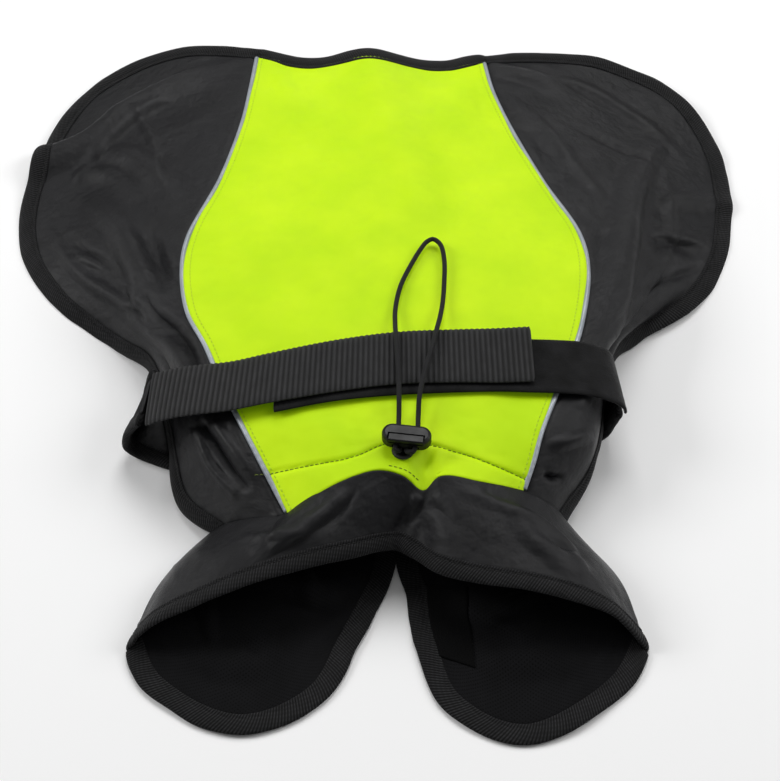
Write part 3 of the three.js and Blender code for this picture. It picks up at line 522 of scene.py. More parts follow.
tape, tree, place, use = finish("binding_tape", Roughness=0.75, Specular_IOR_Level=0.15,
                                Sheen_Weight=0.04, Sheen_Roughness=0.45)
ridge = twill(tree, place, 1.25)
worn = spread(tree, cloud(tree, place, 9, 3.0), 0.3, 0.7, 0.75, 1.25)
# painted highlight and shade: the twill ridges are painted much lighter than the grooves between them
shade = mixed(tree, ridge, grey(0.001), grey(0.024, 0.06))
use(Base_Color=add(tree, "VectorMath", {"operation": "SCALE"}, 0, _0=shade, Scale=worn),
    Normal=relief(tree, [(cloud(tree, place, 5, 2.0), 0.25), (ridge, 0.3)]))

webbing_finish, tree, place, use = finish("ribbed_webbing", Roughness=0.6, Specular_IOR_Level=0.25,
                                          Sheen_Weight=0.06, Sheen_Roughness=0.4)
ribs = stripes(tree, place, (0, 1, 0), 2.6, np.pi / 2)
wraps = stripes(tree, place, (1, 0.15, 0), 0.55)
# painted highlight and shade: the rib crests are painted lighter and the gaps between the ribs darker, in
# step with the modelled ribs
shade = mixed(tree, ribs, grey(0.004), grey(0.026, 0.05))
worn = spread(tree, cloud(tree, place, 7, 3.0), 0.3, 0.7, 0.8, 1.2)
use(Base_Color=add(tree, "VectorMath", {"operation": "SCALE"}, 0, _0=shade, Scale=worn),
    Normal=relief(tree, [(wraps, 0.10)]))

loop_finish, tree, place, use = finish("loop_pile", Roughness=0.95, Specular_IOR_Level=0.1,
                                       Sheen_Weight=0.2, Sheen_Roughness=0.35)
pile = cloud(tree, place, 0.7, 3.0)
worn = spread(tree, cloud(tree, place, 12, 3.0), 0.3, 0.7)
use(Base_Color=mixed(tree, worn, grey(0.008), grey(0.016, 0.05)),
    Normal=relief(tree, [(cloud(tree, place, 5, 2.0), 0.3), (pile, 0.35)]))

patch_finish, tree, place, use = finish("patch_pile", Roughness=0.95, Specular_IOR_Level=0.06,
                                        Sheen_Weight=0.03, Sheen_Roughness=0.35)
pile = cloud(tree, place, 0.7, 3.0)
use(Base_Color=mixed(tree, pile, grey(0.0015), grey(0.006, 0.05)), Normal=relief(tree, [(pile, 0.35)]))

def thread(name, low, high):
    """Sewing thread: two plies twisted together."""
    material, tree, place, use = finish(name, Roughness=0.55, Specular_IOR_Level=0.3)
    twist = stripes(tree, place, (1, 0.5, 0), 0.5)
    use(Base_Color=mixed(tree, twist, low, high), Normal=relief(tree, [(twist, 0.08)]))
    return material

black_thread = thread("black_thread", grey(0.002), grey(0.020, 0.05))
lime_thread = thread("lime_thread", (0.34, 0.52, 0.01, 1), (0.66, 0.90, 0.08, 1))
olive_thread = thread("olive_thread", (0.06, 0.09, 0.006, 1), (0.20, 0.28, 0.02, 1))

# %% [markdown]
# Reflective cloth is thousands of glass beads on a silver ground: grey, a little metallic,
# with a fine sparkle.  The cord's cover is braided, two sets of slanting threads that cross.
# The lock is polished moulded plastic with a clear skin; the eyelet is the same plastic, matt.

# %% Piping, elastic and plastic
reflective, tree, place, use = finish("reflective_piping", Metallic=0.25, Specular_IOR_Level=0.5)
beads = cloud(tree, place, 0.5, 2.0)
dusty = spread(tree, cloud(tree, place, 14, 3.0), 0.3, 0.7)
use(Base_Color=mixed(tree, dusty, (0.27, 0.30, 0.33, 1), (0.38, 0.41, 0.44, 1)),
    Roughness=spread(tree, beads, 0.3, 0.7, 0.3, 0.5),
    Normal=relief(tree, [(stripes(tree, place, (0, 1, 0), 4.0), 0.06), (beads, 0.03)]))

elastic, tree, place, use = finish("braided_elastic", Roughness=0.7, Specular_IOR_Level=0.22,
                                   Sheen_Weight=0.05, Sheen_Roughness=0.4)
braid = maths(tree, "MAXIMUM", stripes(tree, place, (1, 0.6, 0), 0.7),
              stripes(tree, place, (1, -0.6, 0), 0.7))
use(Base_Color=mixed(tree, braid, grey(0.003), grey(0.014, 0.08)), Normal=relief(tree, [(braid, 0.12)]))

lock_plastic, tree, place, use = finish("glossy_plastic", own=False, Specular_IOR_Level=0.22,
                                        Coat_Weight=0.1, Coat_Roughness=0.12)
grain = cloud(tree, place, 1.5, 3.0)
use(Base_Color=mixed(tree, grain, grey(0.004), grey(0.008, 0.05)),
    Roughness=spread(tree, cloud(tree, place, 5, 3.0), 0.3, 0.7, 0.36, 0.5),
    Normal=relief(tree, [(grain, 0.02)]))

eyelet_plastic, tree, place, use = finish("matte_plastic", own=False, Specular_IOR_Level=0.4)
grain = cloud(tree, place, 0.6, 3.0)
use(Base_Color=mixed(tree, grain, grey(0.005), grey(0.010)),
    Roughness=spread(tree, cloud(tree, place, 4, 3.0), 0.3, 0.7, 0.45, 0.6),
    Normal=relief(tree, [(grain, 0.03)]))

floor_finish, tree, place, use = finish("pale_floor", own=False, Roughness=0.9, Specular_IOR_Level=0.1)
use(Base_Color=mixed(tree, cloud(tree, place, 300, 2.0), (0.98, 0.98, 0.98, 1), (0.99, 0.99, 0.99, 1)))

# %% [markdown]
# ## The back panel
# The back is one piece of bright coated cloth, wide over the ribs and narrow at the neck,
# between two piped seams.  Its table gives a section for each row: the left seam, three
# lines of the cloth, and the right seam.  The collar's table comes with it, because its last
# line is the neck seam that the back and both sides are sewn to.

# %% Tables of the back and the collar
BACK = placed([  # left seam, line a, line b, line c, right seam
    [[-70, 211, 11], [-38, 209, 6.5], [-5, 207, 15], [30, 207, 6.5], [61.5, 208, 9.5]],
    [[-72, 182, 15], [-38, 181, 13], [-4, 181, 20], [31, 182, 13], [65, 183, 12.5]],
    [[-75, 150, 19], [-38, 149, 20], [-1, 149, 24], [36, 150, 19], [73, 151, 16.5]],
    [[-84, 100, 26], [-41, 99, 28], [3, 99, 31], [46, 99, 27], [89, 100, 24]],
    [[-98, 50, 33], [-46, 51, 35], [5, 51, 37], [56, 52, 35], [106, 54, 31]],
    [[-99, 25, 36], [-47, 25, 38.5], [5, 24, 40], [57, 24, 38.5], [108, 24, 35.5]],
    [[-94, -5, 38.5], [-44, -6, 41.5], [6, -7, 42.3], [56, -8, 41.3], [103, -9, 38]],
    [[-84, -27, 40], [-38, -27, 42.8], [8, -28, 43.5], [54, -28, 42.6], [98, -28, 39.5]],
    [[-73, -56, 41], [-32, -56, 42.8], [8, -57, 43.4], [48, -57, 42.6], [87, -58, 40]],
    [[-62, -80, 40], [-26, -79, 42], [9, -79, 42.6], [44, -79, 42], [79, -80, 39]],
    [[-53, -98, 37], [-21, -92, 41], [10, -91, 42], [43, -92, 41], [75, -94, 36]],
    [[-41, -122, 31.3], [-14, -110, 38.5], [13, -107, 41], [42, -107, 39.5], [70, -109, 31.5]]])
COLLAR = placed([  # rim, half-way, neck seam
    [[-109, -168, 3.4], [-100, -142, 3], [-76.5, -111, 3]],
    [[-100, -164, 14.5], [-89.5, -141, 17], [-68, -115.5, 16]],
    [[-81, -158, 23], [-72, -141, 26], [-55, -120, 25.5]],
    [[-57.5, -150, 29.5], [-50, -138, 32], [-41, -122.6, 31.3]],
    [[-35, -142.5, 31], [-31, -130, 34.5], [-28, -115, 36]],
    [[-11.5, -134, 28.5], [-12, -122, 35], [-14, -108, 39.7]],
    [[2.5, -128.5, 26], [1.5, -117, 36], [1, -104, 42]],
    [[12.5, -127, 24], [13, -118, 32], [13, -106.5, 41]],
    [[21.5, -132, 23.5], [22, -122, 29.5], [22.5, -111.5, 36]],
    [[32, -142.5, 28], [32, -127, 34], [31, -106.5, 40]],
    [[49.5, -150, 31], [49, -131, 36], [49, -109, 39]],
    [[72, -154.5, 31], [71, -133, 34], [70, -109, 31.5]],
    [[91, -157, 26], [86, -136, 27], [78, -109, 25]],
    [[108.5, -161, 17], [100, -138, 18], [85, -109, 17]],
    [[121.5, -167, 3.4], [114, -140, 3], [91.5, -109.5, 3]]])
BACK_FOLDS = [
    pleat(2.5, 20, 16, [-2, 205, 15], [10, 140, 25], [24, 84, 32], [28, 50, 37], ends=(0.4, 0)),
    pleat(-1.8, 8, 7, [26, -88, 42], [23, -100, 41], [22.5, -111, 39], ends=(0, 0.8))]
BACK_CREASES = [
    pleat(-1.1, 1.8, 1.8, [-60, -104, 35], [-35, -100, 40], [-10, -96, 42], [8, -88, 43], [25, -89, 43],
          [35, -92, 43], [55, -99, 40], [75, -105, 34], ends=(1, 1)),
    pleat(1.5, 5, 4, [32, -90, 43], [25, -105, 40], ends=(0, 0.4)),
    pleat(0.9, 8, 8, [-60, 205, 9], [-45, 160, 18], ends=(0.6, 0)),
    pleat(0.9, 8, 8, [50, 205, 8], [50, 155, 17], ends=(0.6, 0))]

# %% The back panel
BACK_CLOTH = 1.6 * MM
SEAM_TUCK = 0.9 * MM       # a panel stops this far short of the middle of the piping
NECK_GAP = 0.25 * MM
LEFT_SEAM_ROW, RIGHT_SEAM_ROW = 3, 11

def neck_between(start, end, count):
    share = np.linspace(start, end, count) / (len(COLLAR) - 1)
    return through(COLLAR[:, 2], share) + [0, NECK_GAP, 0]

back_net = loft(BACK, 190, 120, SEAM_TUCK, SEAM_TUCK)
back_net = sewn_to(back_net, neck_between(LEFT_SEAM_ROW + 0.1, RIGHT_SEAM_ROW - 0.07, 121), 0.14)
back_net = folded(back_net, BACK_FOLDS, 1)
back_net = folded(back_net, BACK_CREASES, 1)
back_net = uneven(back_net, 1, soft=0.35, crinkle=0.0, seed=11)
back_panel = wall("back_panel_cloth", back_net, BACK_CLOTH, 1, [yellow_cloth, mesh_lining])
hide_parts("back_panel")
print("back panel net:", back_net.shape)

# %% [markdown]
# ## The side panels
# Each side starts at a piped seam, drops down the flank and spreads on the surface; at the
# rear it widens into the wing that wraps the dog's thigh.  The two are cut as mirror images,
# but they lie in different folds, so each has its own table and its own folds.

# %% Tables of the sides
LEFT_SIDE = placed([  # two lines down the flank, then the edge where the tape is stitched
    [[-102, 217, 8], [-136, 208, 6], [-161, 188, 4]],
    [[-107, 183, 10], [-141, 175, 7], [-174.5, 161, 3]],
    [[-110, 150, 14], [-146, 144, 9], [-179.5, 138, 4]],
    [[-119, 104, 19], [-153, 105, 9], [-186.5, 104, 2]],
    [[-126, 60, 24], [-155, 68, 12], [-183, 71, 2]],
    [[-119, 32, 28], [-143, 38, 14], [-164.5, 39, 3]],
    [[-108, 0, 33], [-123, 7, 19], [-137, 11, 5.5]],
    [[-95, -22, 36], [-105, -18, 25], [-111, -14, 13]],
    [[-86, -56, 37], [-96, -56, 26], [-100, -55, 14]],
    [[-76, -79, 36], [-88, -78, 26], [-95.5, -77, 13]],
    [[-65, -97, 33], [-79, -95, 22], [-91.5, -95, 8.5]],
    [[-54, -118, 26], [-62, -116, 21], [-70, -112.5, 13.5]]])
RIGHT_SIDE = placed([
    [[93, 212, 7], [126, 211, 5], [158, 195, 4]],
    [[100, 182, 10], [138, 176, 6], [174.5, 173, 3]],
    [[109, 148, 13], [148, 144, 8], [185.5, 140, 2]],
    [[122, 103, 18], [155, 105, 10], [186, 105, 2]],
    [[130, 64, 23], [156, 72, 12], [182, 76, 2]],
    [[127, 32, 28], [147, 39, 15], [169, 42, 3]],
    [[117, -1, 33], [127, 6, 21], [139, 19, 5]],
    [[109, -25, 36], [114, -19, 26], [116, -9, 13]],
    [[101, -57, 37], [109, -57, 27], [110.5, -57, 15]],
    [[93, -79, 35], [103, -78, 26], [106, -77, 15]],
    [[84, -93, 31], [93, -91, 21], [96.5, -90, 11]],
    [[77, -108, 26], [82, -108, 21], [86, -107, 15]]])
LEFT_FOLDS = [
    pleat(6.5, 7, 16, [-186, 135, 4], [-162, 147, 8], [-144, 168, 8], [-122, 188, 9], [-96, 204, 9],
          ends=(0.9, 0.1), lean=2.5),
    pleat(4.5, 10, 11, [-164, 136, 8], [-138, 131, 12], [-118, 104, 19], [-106, 72, 28]),
    pleat(3, 8, 9, [-170, 121, 6], [-149, 120, 10], [-128, 92, 18]),
    pleat(-5, 9, 9, [-124, 70, 24], [-114, 42, 29], [-104, 14, 33], ends=(0.1, 0)),
    pleat(4.5, 9, 9, [-162, 108, 6], [-138, 74, 17], [-126, 44, 23], [-113, 10, 28], [-103, -14, 32])]
RIGHT_FOLDS = [
    pleat(5.5, 15, 7, [115, -18, 30], [122, 12, 28], [129, 42, 24], [138, 90, 18],
          [150, 128, 10], [160, 150, 6],
          ends=(0.2, 0)),
    pleat(3.5, 8, 10, [66, 204, 9], [90, 196, 9], [116, 178, 9], ends=(0.4, 0)),
    pleat(3, 9, 9, [74, 172, 14], [94, 140, 16], [108, 118, 18], ends=(0.2, 0)),
    pleat(3, 7, 9, [184, 104, 2], [166, 100, 7], [152, 86, 12], ends=(0.6, 0)),
    pleat(-3, 9, 9, [172, 66, 4], [156, 66, 10], [143, 56, 17])]
LEFT_CREASES = [
    crease(2.0, 5, (0.10, 0.35), (0.30, 0.90), bow=0.10, lean=1.0),
    crease(2.8, 5, (0.30, 0.95), (0.50, 0.30), bow=0.15),
    crease(-3.0, 4, (0.34, 0.80), (0.50, 0.40)),
    crease(2.4, 4, (0.40, 0.85), (0.55, 0.35), bow=-0.10, lean=-0.8),
    crease(-5.0, 6, (0.48, 0.35), (0.72, 0.20), ends=(0, 0.2)),
    crease(3.2, 6, (0.45, 0.75), (0.74, 0.15), bow=0.10, ends=(0, 0.5), lean=2.0),
    crease(-2.5, 4, (0.62, 0.85), (0.74, 0.45), ends=(0, 0.4)),
    crease(1.8, 4, (0.12, 0.60), (0.28, 0.30), ends=(0.4, 0)),
    crease(3.0, 4, (0.80, 0.55), (0.95, 0.45), bow=0.10, ends=(0.5, 0.4), lean=1.5),
    crease(-5.0, 4, (0.79, 0.40), (0.94, 0.25), ends=(0.6, 0.4)),
    crease(2.6, 4, (0.80, 0.25), (0.92, 0.12), ends=(0.5, 0.2))]
RIGHT_CREASES = [
    crease(3.4, 6, (0.74, 0.30), (0.20, 0.75), bow=-0.10, ends=(0.3, 0), lean=-2.0),
    crease(-3.0, 5, (0.70, 0.45), (0.35, 0.70), ends=(0.2, 0)),
    crease(2.4, 5, (0.05, 0.30), (0.22, 0.90), bow=0.10, lean=-1.0),
    crease(-2.2, 5, (0.16, 0.30), (0.24, 0.75)),
    crease(2.2, 4, (0.38, 0.95), (0.36, 0.50), ends=(0.6, 0)),
    crease(-1.8, 4, (0.42, 0.95), (0.50, 0.45), ends=(0.6, 0)),
    crease(3.2, 5, (0.46, 0.90), (0.68, 0.30), bow=0.10, ends=(0.1, 0)),
    crease(-3.6, 4, (0.54, 0.75), (0.68, 0.35)),
    crease(2.0, 5, (0.16, 0.15), (0.32, 0.30), ends=(0.4, 0)),
    crease(2.2, 4, (0.86, 0.10), (0.80, 0.60), ends=(0.2, 0.2)),
    crease(-4.0, 4, (0.94, 0.15), (0.93, 0.60))]

# %% The side panels
SIDE_CLOTH = 1.4 * MM
HEM_NOTCH = [-186, 135, 4]  # where the left wing's big pleat runs out over the hem

def side_panel(name, node, rows, seam, folds, creases, side, neck_rows, seed, reach, kept=()):
    rows = np.concatenate([BACK[:, seam:seam + 1], rows], 1)
    net = loft(rows, 220, 64, SEAM_TUCK)
    net = sewn_to(net, neck_between(*neck_rows, 65), 0.1)
    net = eased_hem(net, reach, 45, kept)
    net = folded(net, folds, side)
    net = folded(net, drawn_on(net, creases), side, crisp=0.5, free=freedom(net, 7, 9, 0.25))
    net = uneven(net, side, soft=0.45, crinkle=0.4, seed=seed)
    net = net - normals_of(net, side) * seam_dip(net[:, 0], net, 1.1, 3)
    piece = wall(name, net, SIDE_CLOTH, side, [black_cloth, mesh_lining])
    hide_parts(node)
    return net, piece

left_net, left_side = side_panel("side_cloth_left", "side_panel_left", LEFT_SIDE, 0, LEFT_FOLDS,
                                 LEFT_CREASES, -1, (LEFT_SEAM_ROW - 0.07, 0.75), 21,
                                 11, [HEM_NOTCH])
right_net, right_side = side_panel("side_cloth_right", "side_panel_right", RIGHT_SIDE, 4, RIGHT_FOLDS,
                                   RIGHT_CREASES, 1, (RIGHT_SEAM_ROW + 0.1, 13.25), 31, 24)
print("side nets:", left_net.shape, right_net.shape)

# %% [markdown]
# ## The collar
# The collar is sewn to the neck seam and folds round at both outer corners into the chest
# flaps, so on the real jacket one cloth goes all the way.  Here its net gets a few extra rows
# at each end that roll it over in a tight half circle, down to where the flap begins.

# %% The collar, rolled over at both ends
COLLAR_FOLDS = [
    pleat(2.6, 8, 9, [-24, -116, 37], [-40, -132, 34], [-58, -143, 31]),
    pleat(2.8, 10, 9, [58, -117, 37], [84, -144, 31], [106, -154, 19]),
    pleat(-2.4, 6, 6, [20, -115, 34], [15, -122, 29], [11, -127, 25], ends=(0, 0.5))]
COLLAR_CREASES = [
    crease(2.6, 4, (0.36, 0.85), (0.24, 0.25), ends=(0, 0.4)),
    crease(-2.0, 4, (0.39, 0.80), (0.30, 0.25)),
    crease(2.0, 4, (0.15, 0.70), (0.30, 0.30)),
    crease(-1.8, 4, (0.20, 0.85), (0.22, 0.30), ends=(0.4, 0)),
    crease(2.8, 4, (0.55, 0.90), (0.53, 0.40), ends=(0.3, 0.3)),
    crease(2.8, 5, (0.66, 0.85), (0.88, 0.20), bow=0.10, ends=(0, 0.3), lean=0.8),
    crease(-1.8, 4, (0.78, 0.50), (0.90, 0.30)),
    crease(-1.6, 5, (0.60, 0.75), (0.68, 0.35))]
FLAP_TOP = 1.8 * MM         # the chest flaps' upper face, where the rolled cloth arrives
ROLL_STEPS = 8

def rolled(net):
    """Extra rows that roll the first row of a net over and under, down to the flap's top."""
    edge, before = net[0], net[1]
    fold = unit(edge[-1] - edge[0])
    leave = unit(edge - before)
    slide = (leave @ fold)[:, None] * fold
    outward = unit((leave - slide) * [1, 1, 0])
    start = np.arctan2(-leave[:, 2], (leave * outward).sum(1))
    radius = (edge[:, 2] - FLAP_TOP) / (1 + np.cos(start))
    rows, place = [], edge
    for step in range(ROLL_STEPS):
        turn = (np.pi - start) / ROLL_STEPS
        angle = start + (step + 0.5) * turn
        heading = outward * np.cos(angle)[:, None] - np.array([0, 0, 1]) * np.sin(angle)[:, None]
        place = place + (heading + slide) * (radius * turn)[:, None]
        rows.append(place)
    return np.stack(rows[::-1])

collar_net = loft(COLLAR, 170, 36, 0, 0.1 * MM)
collar_net = folded(collar_net, COLLAR_FOLDS, 1)
collar_net = folded(collar_net, drawn_on(collar_net, COLLAR_CREASES), 1, crisp=0.5,
                    free=freedom(collar_net, 6, 4, 0.2))
collar_net = uneven(collar_net, 1, soft=0.35, crinkle=0.35, seed=41)
left_roll, right_roll = rolled(collar_net), rolled(collar_net[::-1])
collar_net = np.concatenate([left_roll, collar_net, right_roll[::-1]])
collar = wall("collar_cloth", collar_net, SIDE_CLOTH, 1, [black_cloth, mesh_lining])
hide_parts("collar")
print("collar net:", collar_net.shape)

# %% [markdown]
# ## The chest flaps
# Under the collar the two chest flaps lie with their mesh lining up, each a round tongue.
# Their outer sides start where the rolled collar ends.

# %% The chest flaps
LEFT_FLAP = placed([  # outer fold, three lines between, front edge
    [[-76, -110, 0], [-57, -107, 0], [-38, -106, 0], [-19, -105, 0], [-0.5, -105, 0]],
    [[-99, -143, 0], [-73, -142, 0], [-50, -141, 0], [-26, -138, 0], [0.2, -130, 0]],
    [[-105.5, -158, 0], [-80, -166, 0], [-56, -169, 0], [-32, -166, 0], [-10.7, -158, 0]],
    [[-109, -168.5, 0], [-98, -191, 0], [-61, -210.8, 0], [-29.5, -196.5, 0], [-16, -170, 0]]])
RIGHT_FLAP = placed([
    [[91, -109, 0], [74, -106, 0], [56, -105, 0], [39, -105, 0], [21.5, -105, 0]],
    [[113, -140, 0], [88, -141, 0], [66, -141, 0], [44, -138, 0], [19.6, -130, 0]],
    [[116.5, -150, 0], [90, -155, 0], [68, -157, 0], [45, -154, 0], [24.2, -145.5, 0]],
    [[119, -157, 0], [94, -168, 0], [69, -171, 0], [46, -168, 0], [25.2, -158, 0]],
    [[121.5, -167.5, 0], [108, -191.5, 0], [67.5, -215.6, 0], [38, -200.5, 0], [26.8, -170, 0]]])
LEFT_FLAP_FOLDS = [
    pleat(6, 12, 10, [-60, -134, 0], [-40, -142, 0], [-14, -152, 0], ends=(0, 0.2)),
    pleat(2.5, 10, 12, [-92, -176, 0], [-66, -184, 0], [-40, -180, 0])]
RIGHT_FLAP_FOLDS = [
    pleat(4, 12, 12, [34, -150, 0], [58, -154, 0], [84, -148, 0], ends=(0.1, 0)),
    pleat(2.5, 10, 12, [44, -188, 0], [72, -182, 0], [98, -184, 0])]
LEFT_FLAP_CREASES = [
    crease(3.4, 5, (0.30, 0.15), (0.75, 0.35), ends=(0, 0.3)),
    crease(2.6, 6, (0.20, 0.60), (0.55, 0.75), ends=(0.3, 0)),
    crease(-2.4, 5, (0.45, 0.45), (0.80, 0.55))]
RIGHT_FLAP_CREASES = [
    crease(2.6, 6, (0.30, 0.40), (0.60, 0.70)),
    crease(2.6, 6, (0.75, 0.50), (0.50, 0.85), ends=(0.3, 0)),
    crease(2.4, 5, (0.25, 0.15), (0.28, 0.80), ends=(0.3, 0.2))]
FLAP_CLOTH = 1.6 * MM

def chest_flap(name, node, rows, folds, creases, side, fold_edge, seed):
    """A flap's net, its outer side brought to the end of the collar's roll."""
    net = loft(rows, 70, 70)
    target = evenly(fold_edge[::-1], len(net)) * [1, 1, 0]
    weight = np.clip(1 - np.linspace(0, 1, net.shape[1]) / 0.3, 0, 1) ** 2
    net = net + weight[None, :, None] * (target - net[:, 0])[:, None]
    net = folded(net, folds, side)
    net = folded(net, drawn_on(net, creases), side, crisp=0.4)
    net = uneven(net, side, soft=0.3, crinkle=0.2, seed=seed)
    piece = wall(name, net, FLAP_CLOTH, side, [mesh_lining, black_cloth], base=0.2 * MM)
    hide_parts(node)
    return net, piece

left_flap_net, left_flap = chest_flap("chest_flap_lining_left", "chest_flap_left", LEFT_FLAP,
                                      LEFT_FLAP_FOLDS, LEFT_FLAP_CREASES, 1, collar_net[0], 51)
right_flap_net, right_flap = chest_flap("chest_flap_lining_right", "chest_flap_right", RIGHT_FLAP,
                                        RIGHT_FLAP_FOLDS, RIGHT_FLAP_CREASES, -1, collar_net[-1], 61)

# %% [markdown]
# ## Reflective piping
# A round cord wrapped in grey reflective cloth is caught in both back seams.

# %% Piping
PIPING_DIAMETER = 2.7 * MM
ROUND = np.linspace(0, 2 * np.pi, 14, endpoint=False)

def piping(name, node, seam):
    line = BACK[:, seam] + [0, 0, 0.8 * MM]
    line[-1, 1] += 1.2 * MM
    line = evenly(through(line, np.linspace(0, 1, 400)), 300)
    run = unit(np.gradient(line, axis=0))
    across = unit(np.cross(run, [0, 0, 1]))
    ring = np.stack([np.cos(ROUND), np.sin(ROUND)], 1) * PIPING_DIAMETER / 2
    piece = carried(name, line, across, np.cross(across, run), ring, [reflective])
    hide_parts(node)
    return line, piece

left_pipe_line, left_pipe = piping("reflective_piping_left", "piping_left", 0)
right_pipe_line, right_pipe = piping("reflective_piping_right", "piping_right", 4)

# %% [markdown]
# ## Binding tapes
# Every raw edge is wrapped in a folded twill tape, stitched through near its inner side, so
# it bulges on both faces and has a groove along the stitches.  Its outline is carried along
# the edge of the net.  One tape goes round the rear hem and both sides, one round the collar
# and the flaps, and the belly band has its own two.

# %% Outline of the folded tape
TAPE_WIDTH = 9.5 * MM
TAPE_TOP = np.array([  # share of the width, height above the cloth in millimetres
    [-0.07, 0.10], [-0.05, 0.55], [0.03, 0.75], [0.11, 0.55], [0.16, 0.18], [0.21, 0.55],
    [0.32, 1.0], [0.50, 1.2], [0.70, 1.1], [0.86, 0.65], [0.96, -0.1]])

def tape_outline(width, cloth, rise=1.0, overlap=0.0):
    """The closed outline: over the cloth's top, round the edge, and back below it."""
    top = TAPE_TOP * [width + overlap, MM] * [1, rise] + [-overlap, cloth]
    edge = np.array([[width, cloth / 2]])
    below = (TAPE_TOP * [width + overlap, -0.6 * MM] * [1, rise] - [overlap, 0])[::-1]
    return np.concatenate([top, edge, below])

def tape_on(name, node, line, away, up, span, width, cloth, seed, rise=1.0, overlap=0.0):
    """A tape on part of an edge, slightly puckered by its stitches."""
    part = slice(*span)
    pucker = waves(line, 11, seed)
    overlap = np.broadcast_to(overlap, len(line))
    outline = np.stack([tape_outline(width + 0.2 * MM * p, cloth, rise + 0.13 * p, more)
                        for p, more in zip(pucker, overlap)])
    piece = carried(name, line[part], away[part], up[part], outline[part], [tape])
    if node:
        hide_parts(node)
    return piece

# %% The hem tape, in three lengths
def hem_edge():
    """From the left leg opening round the rear hem to the right leg opening."""
    left_up, back_up, right_up = normals_of(left_net, -1), normals_of(back_net, 1), normals_of(right_net, 1)
    line = np.concatenate([left_net[::-1, -1], left_net[0, -2::-1], back_net[0], right_net[0],
                           right_net[1:, -1]])
    up = np.concatenate([left_up[::-1, -1], left_up[0, -2::-1], back_up[0], right_up[0],
                         right_up[1:, -1]])
    return line, up

def softened(vectors, line, reach):
    """Unit vectors along a line, each blended with its neighbours up to `reach` millimetres off."""
    run = run_of(line)
    near = np.exp(-((run[:, None] - run) / (reach * MM)) ** 2)
    return unit(near @ vectors)

def directions(line, up, outward, reach=7):
    run = unit(np.gradient(line, axis=0))
    away = softened(outward * np.cross(run, up), line, reach)
    up = softened(up, line, reach)
    return away, unit(up - (up * away).sum(-1, keepdims=True) * away)

def smoothed(line, reach):
    """The line with kinks shorter than `reach` millimetres taken out; its ends stay."""
    run = run_of(line)
    near = np.exp(-((run[:, None] - run) / (reach * MM)) ** 2)
    even = (near @ line) / near.sum(1, keepdims=True)
    return line + (even - line) * easing(np.minimum(run, run[-1] - run), 2 * reach)[:, None]

REAR_OVERLAP = 3.0          # the tape takes in more of the soft rear edge
hem_line, hem_up = hem_edge()
hem_line = smoothed(hem_line, 3)
hem_away, hem_up = directions(hem_line, hem_up, -1)
lying = np.exp(-(np.linalg.norm(hem_line - placed([152, 28, 8]), axis=1) / (34 * MM)) ** 2)[:, None]
hem_up = unit((1 - lying) * hem_up + lying * np.array([0, -0.2, 1]))
hem_away = unit(hem_away - (hem_away * hem_up).sum(1, keepdims=True) * hem_up)
left_count = len(left_net) + left_net.shape[1] - 1
back_count = back_net.shape[1]
hem_spans = {"hem_tape_left": ("binding_left", 0, left_count + 1),
             "hem_tape_rear": ("binding_rear", left_count, left_count + back_count + 1),
             "hem_tape_right": ("binding_right", left_count + back_count, len(hem_line))}
hem_run = run_of(hem_line)
rear_start, rear_end = hem_run[left_count], hem_run[left_count + back_count]
into_rear = np.minimum(hem_run - rear_start, rear_end - hem_run)
hem_overlap = REAR_OVERLAP * MM * easing(into_rear, 16)
for k, (name, (node, start, end)) in enumerate(hem_spans.items()):
    tape_on(name, node, hem_line, hem_away, hem_up, (start, end), TAPE_WIDTH, SIDE_CLOTH, 70 + k,
            overlap=hem_overlap)

# %% [markdown]
# The collar's tape follows the cloth round each outer fold.  There it lies flat on itself, so
# its outer edge reaches a tip, a little beyond its own width, along the line of the fold.

# %% The collar and flap tape, in three lengths
RIM_WIDTH = 8.4 * MM
SHEAR_SHARE = 0.85         # under 1, so that the tip is a little blunt
SHEAR_LENGTH = 24

def flap_rim(net, side):
    """A flap's front edge and tip, from under the collar to the outer fold."""
    up = normals_of(net, side)
    points = net + up * FLAP_CLOTH + [0, 0, 0.2 * MM]
    line = np.concatenate([points[:, -1], points[-1, -2::-1]])
    return line, -np.concatenate([up[:, -1], up[-1, -2::-1]])

def sheared(away, run, from_fold, fold):
    """Slides the tape's outer edge along, so that it meets the line of the fold at the corner."""
    fold = unit(fold)
    across = unit(away[0] - (away[0] @ fold) * fold)
    slide = np.clip(-(away[0] @ across) / (run[0] @ across), 0, 1.2)
    return away + SHEAR_SHARE * slide * (1 - easing(from_fold, SHEAR_LENGTH))[:, None] * run

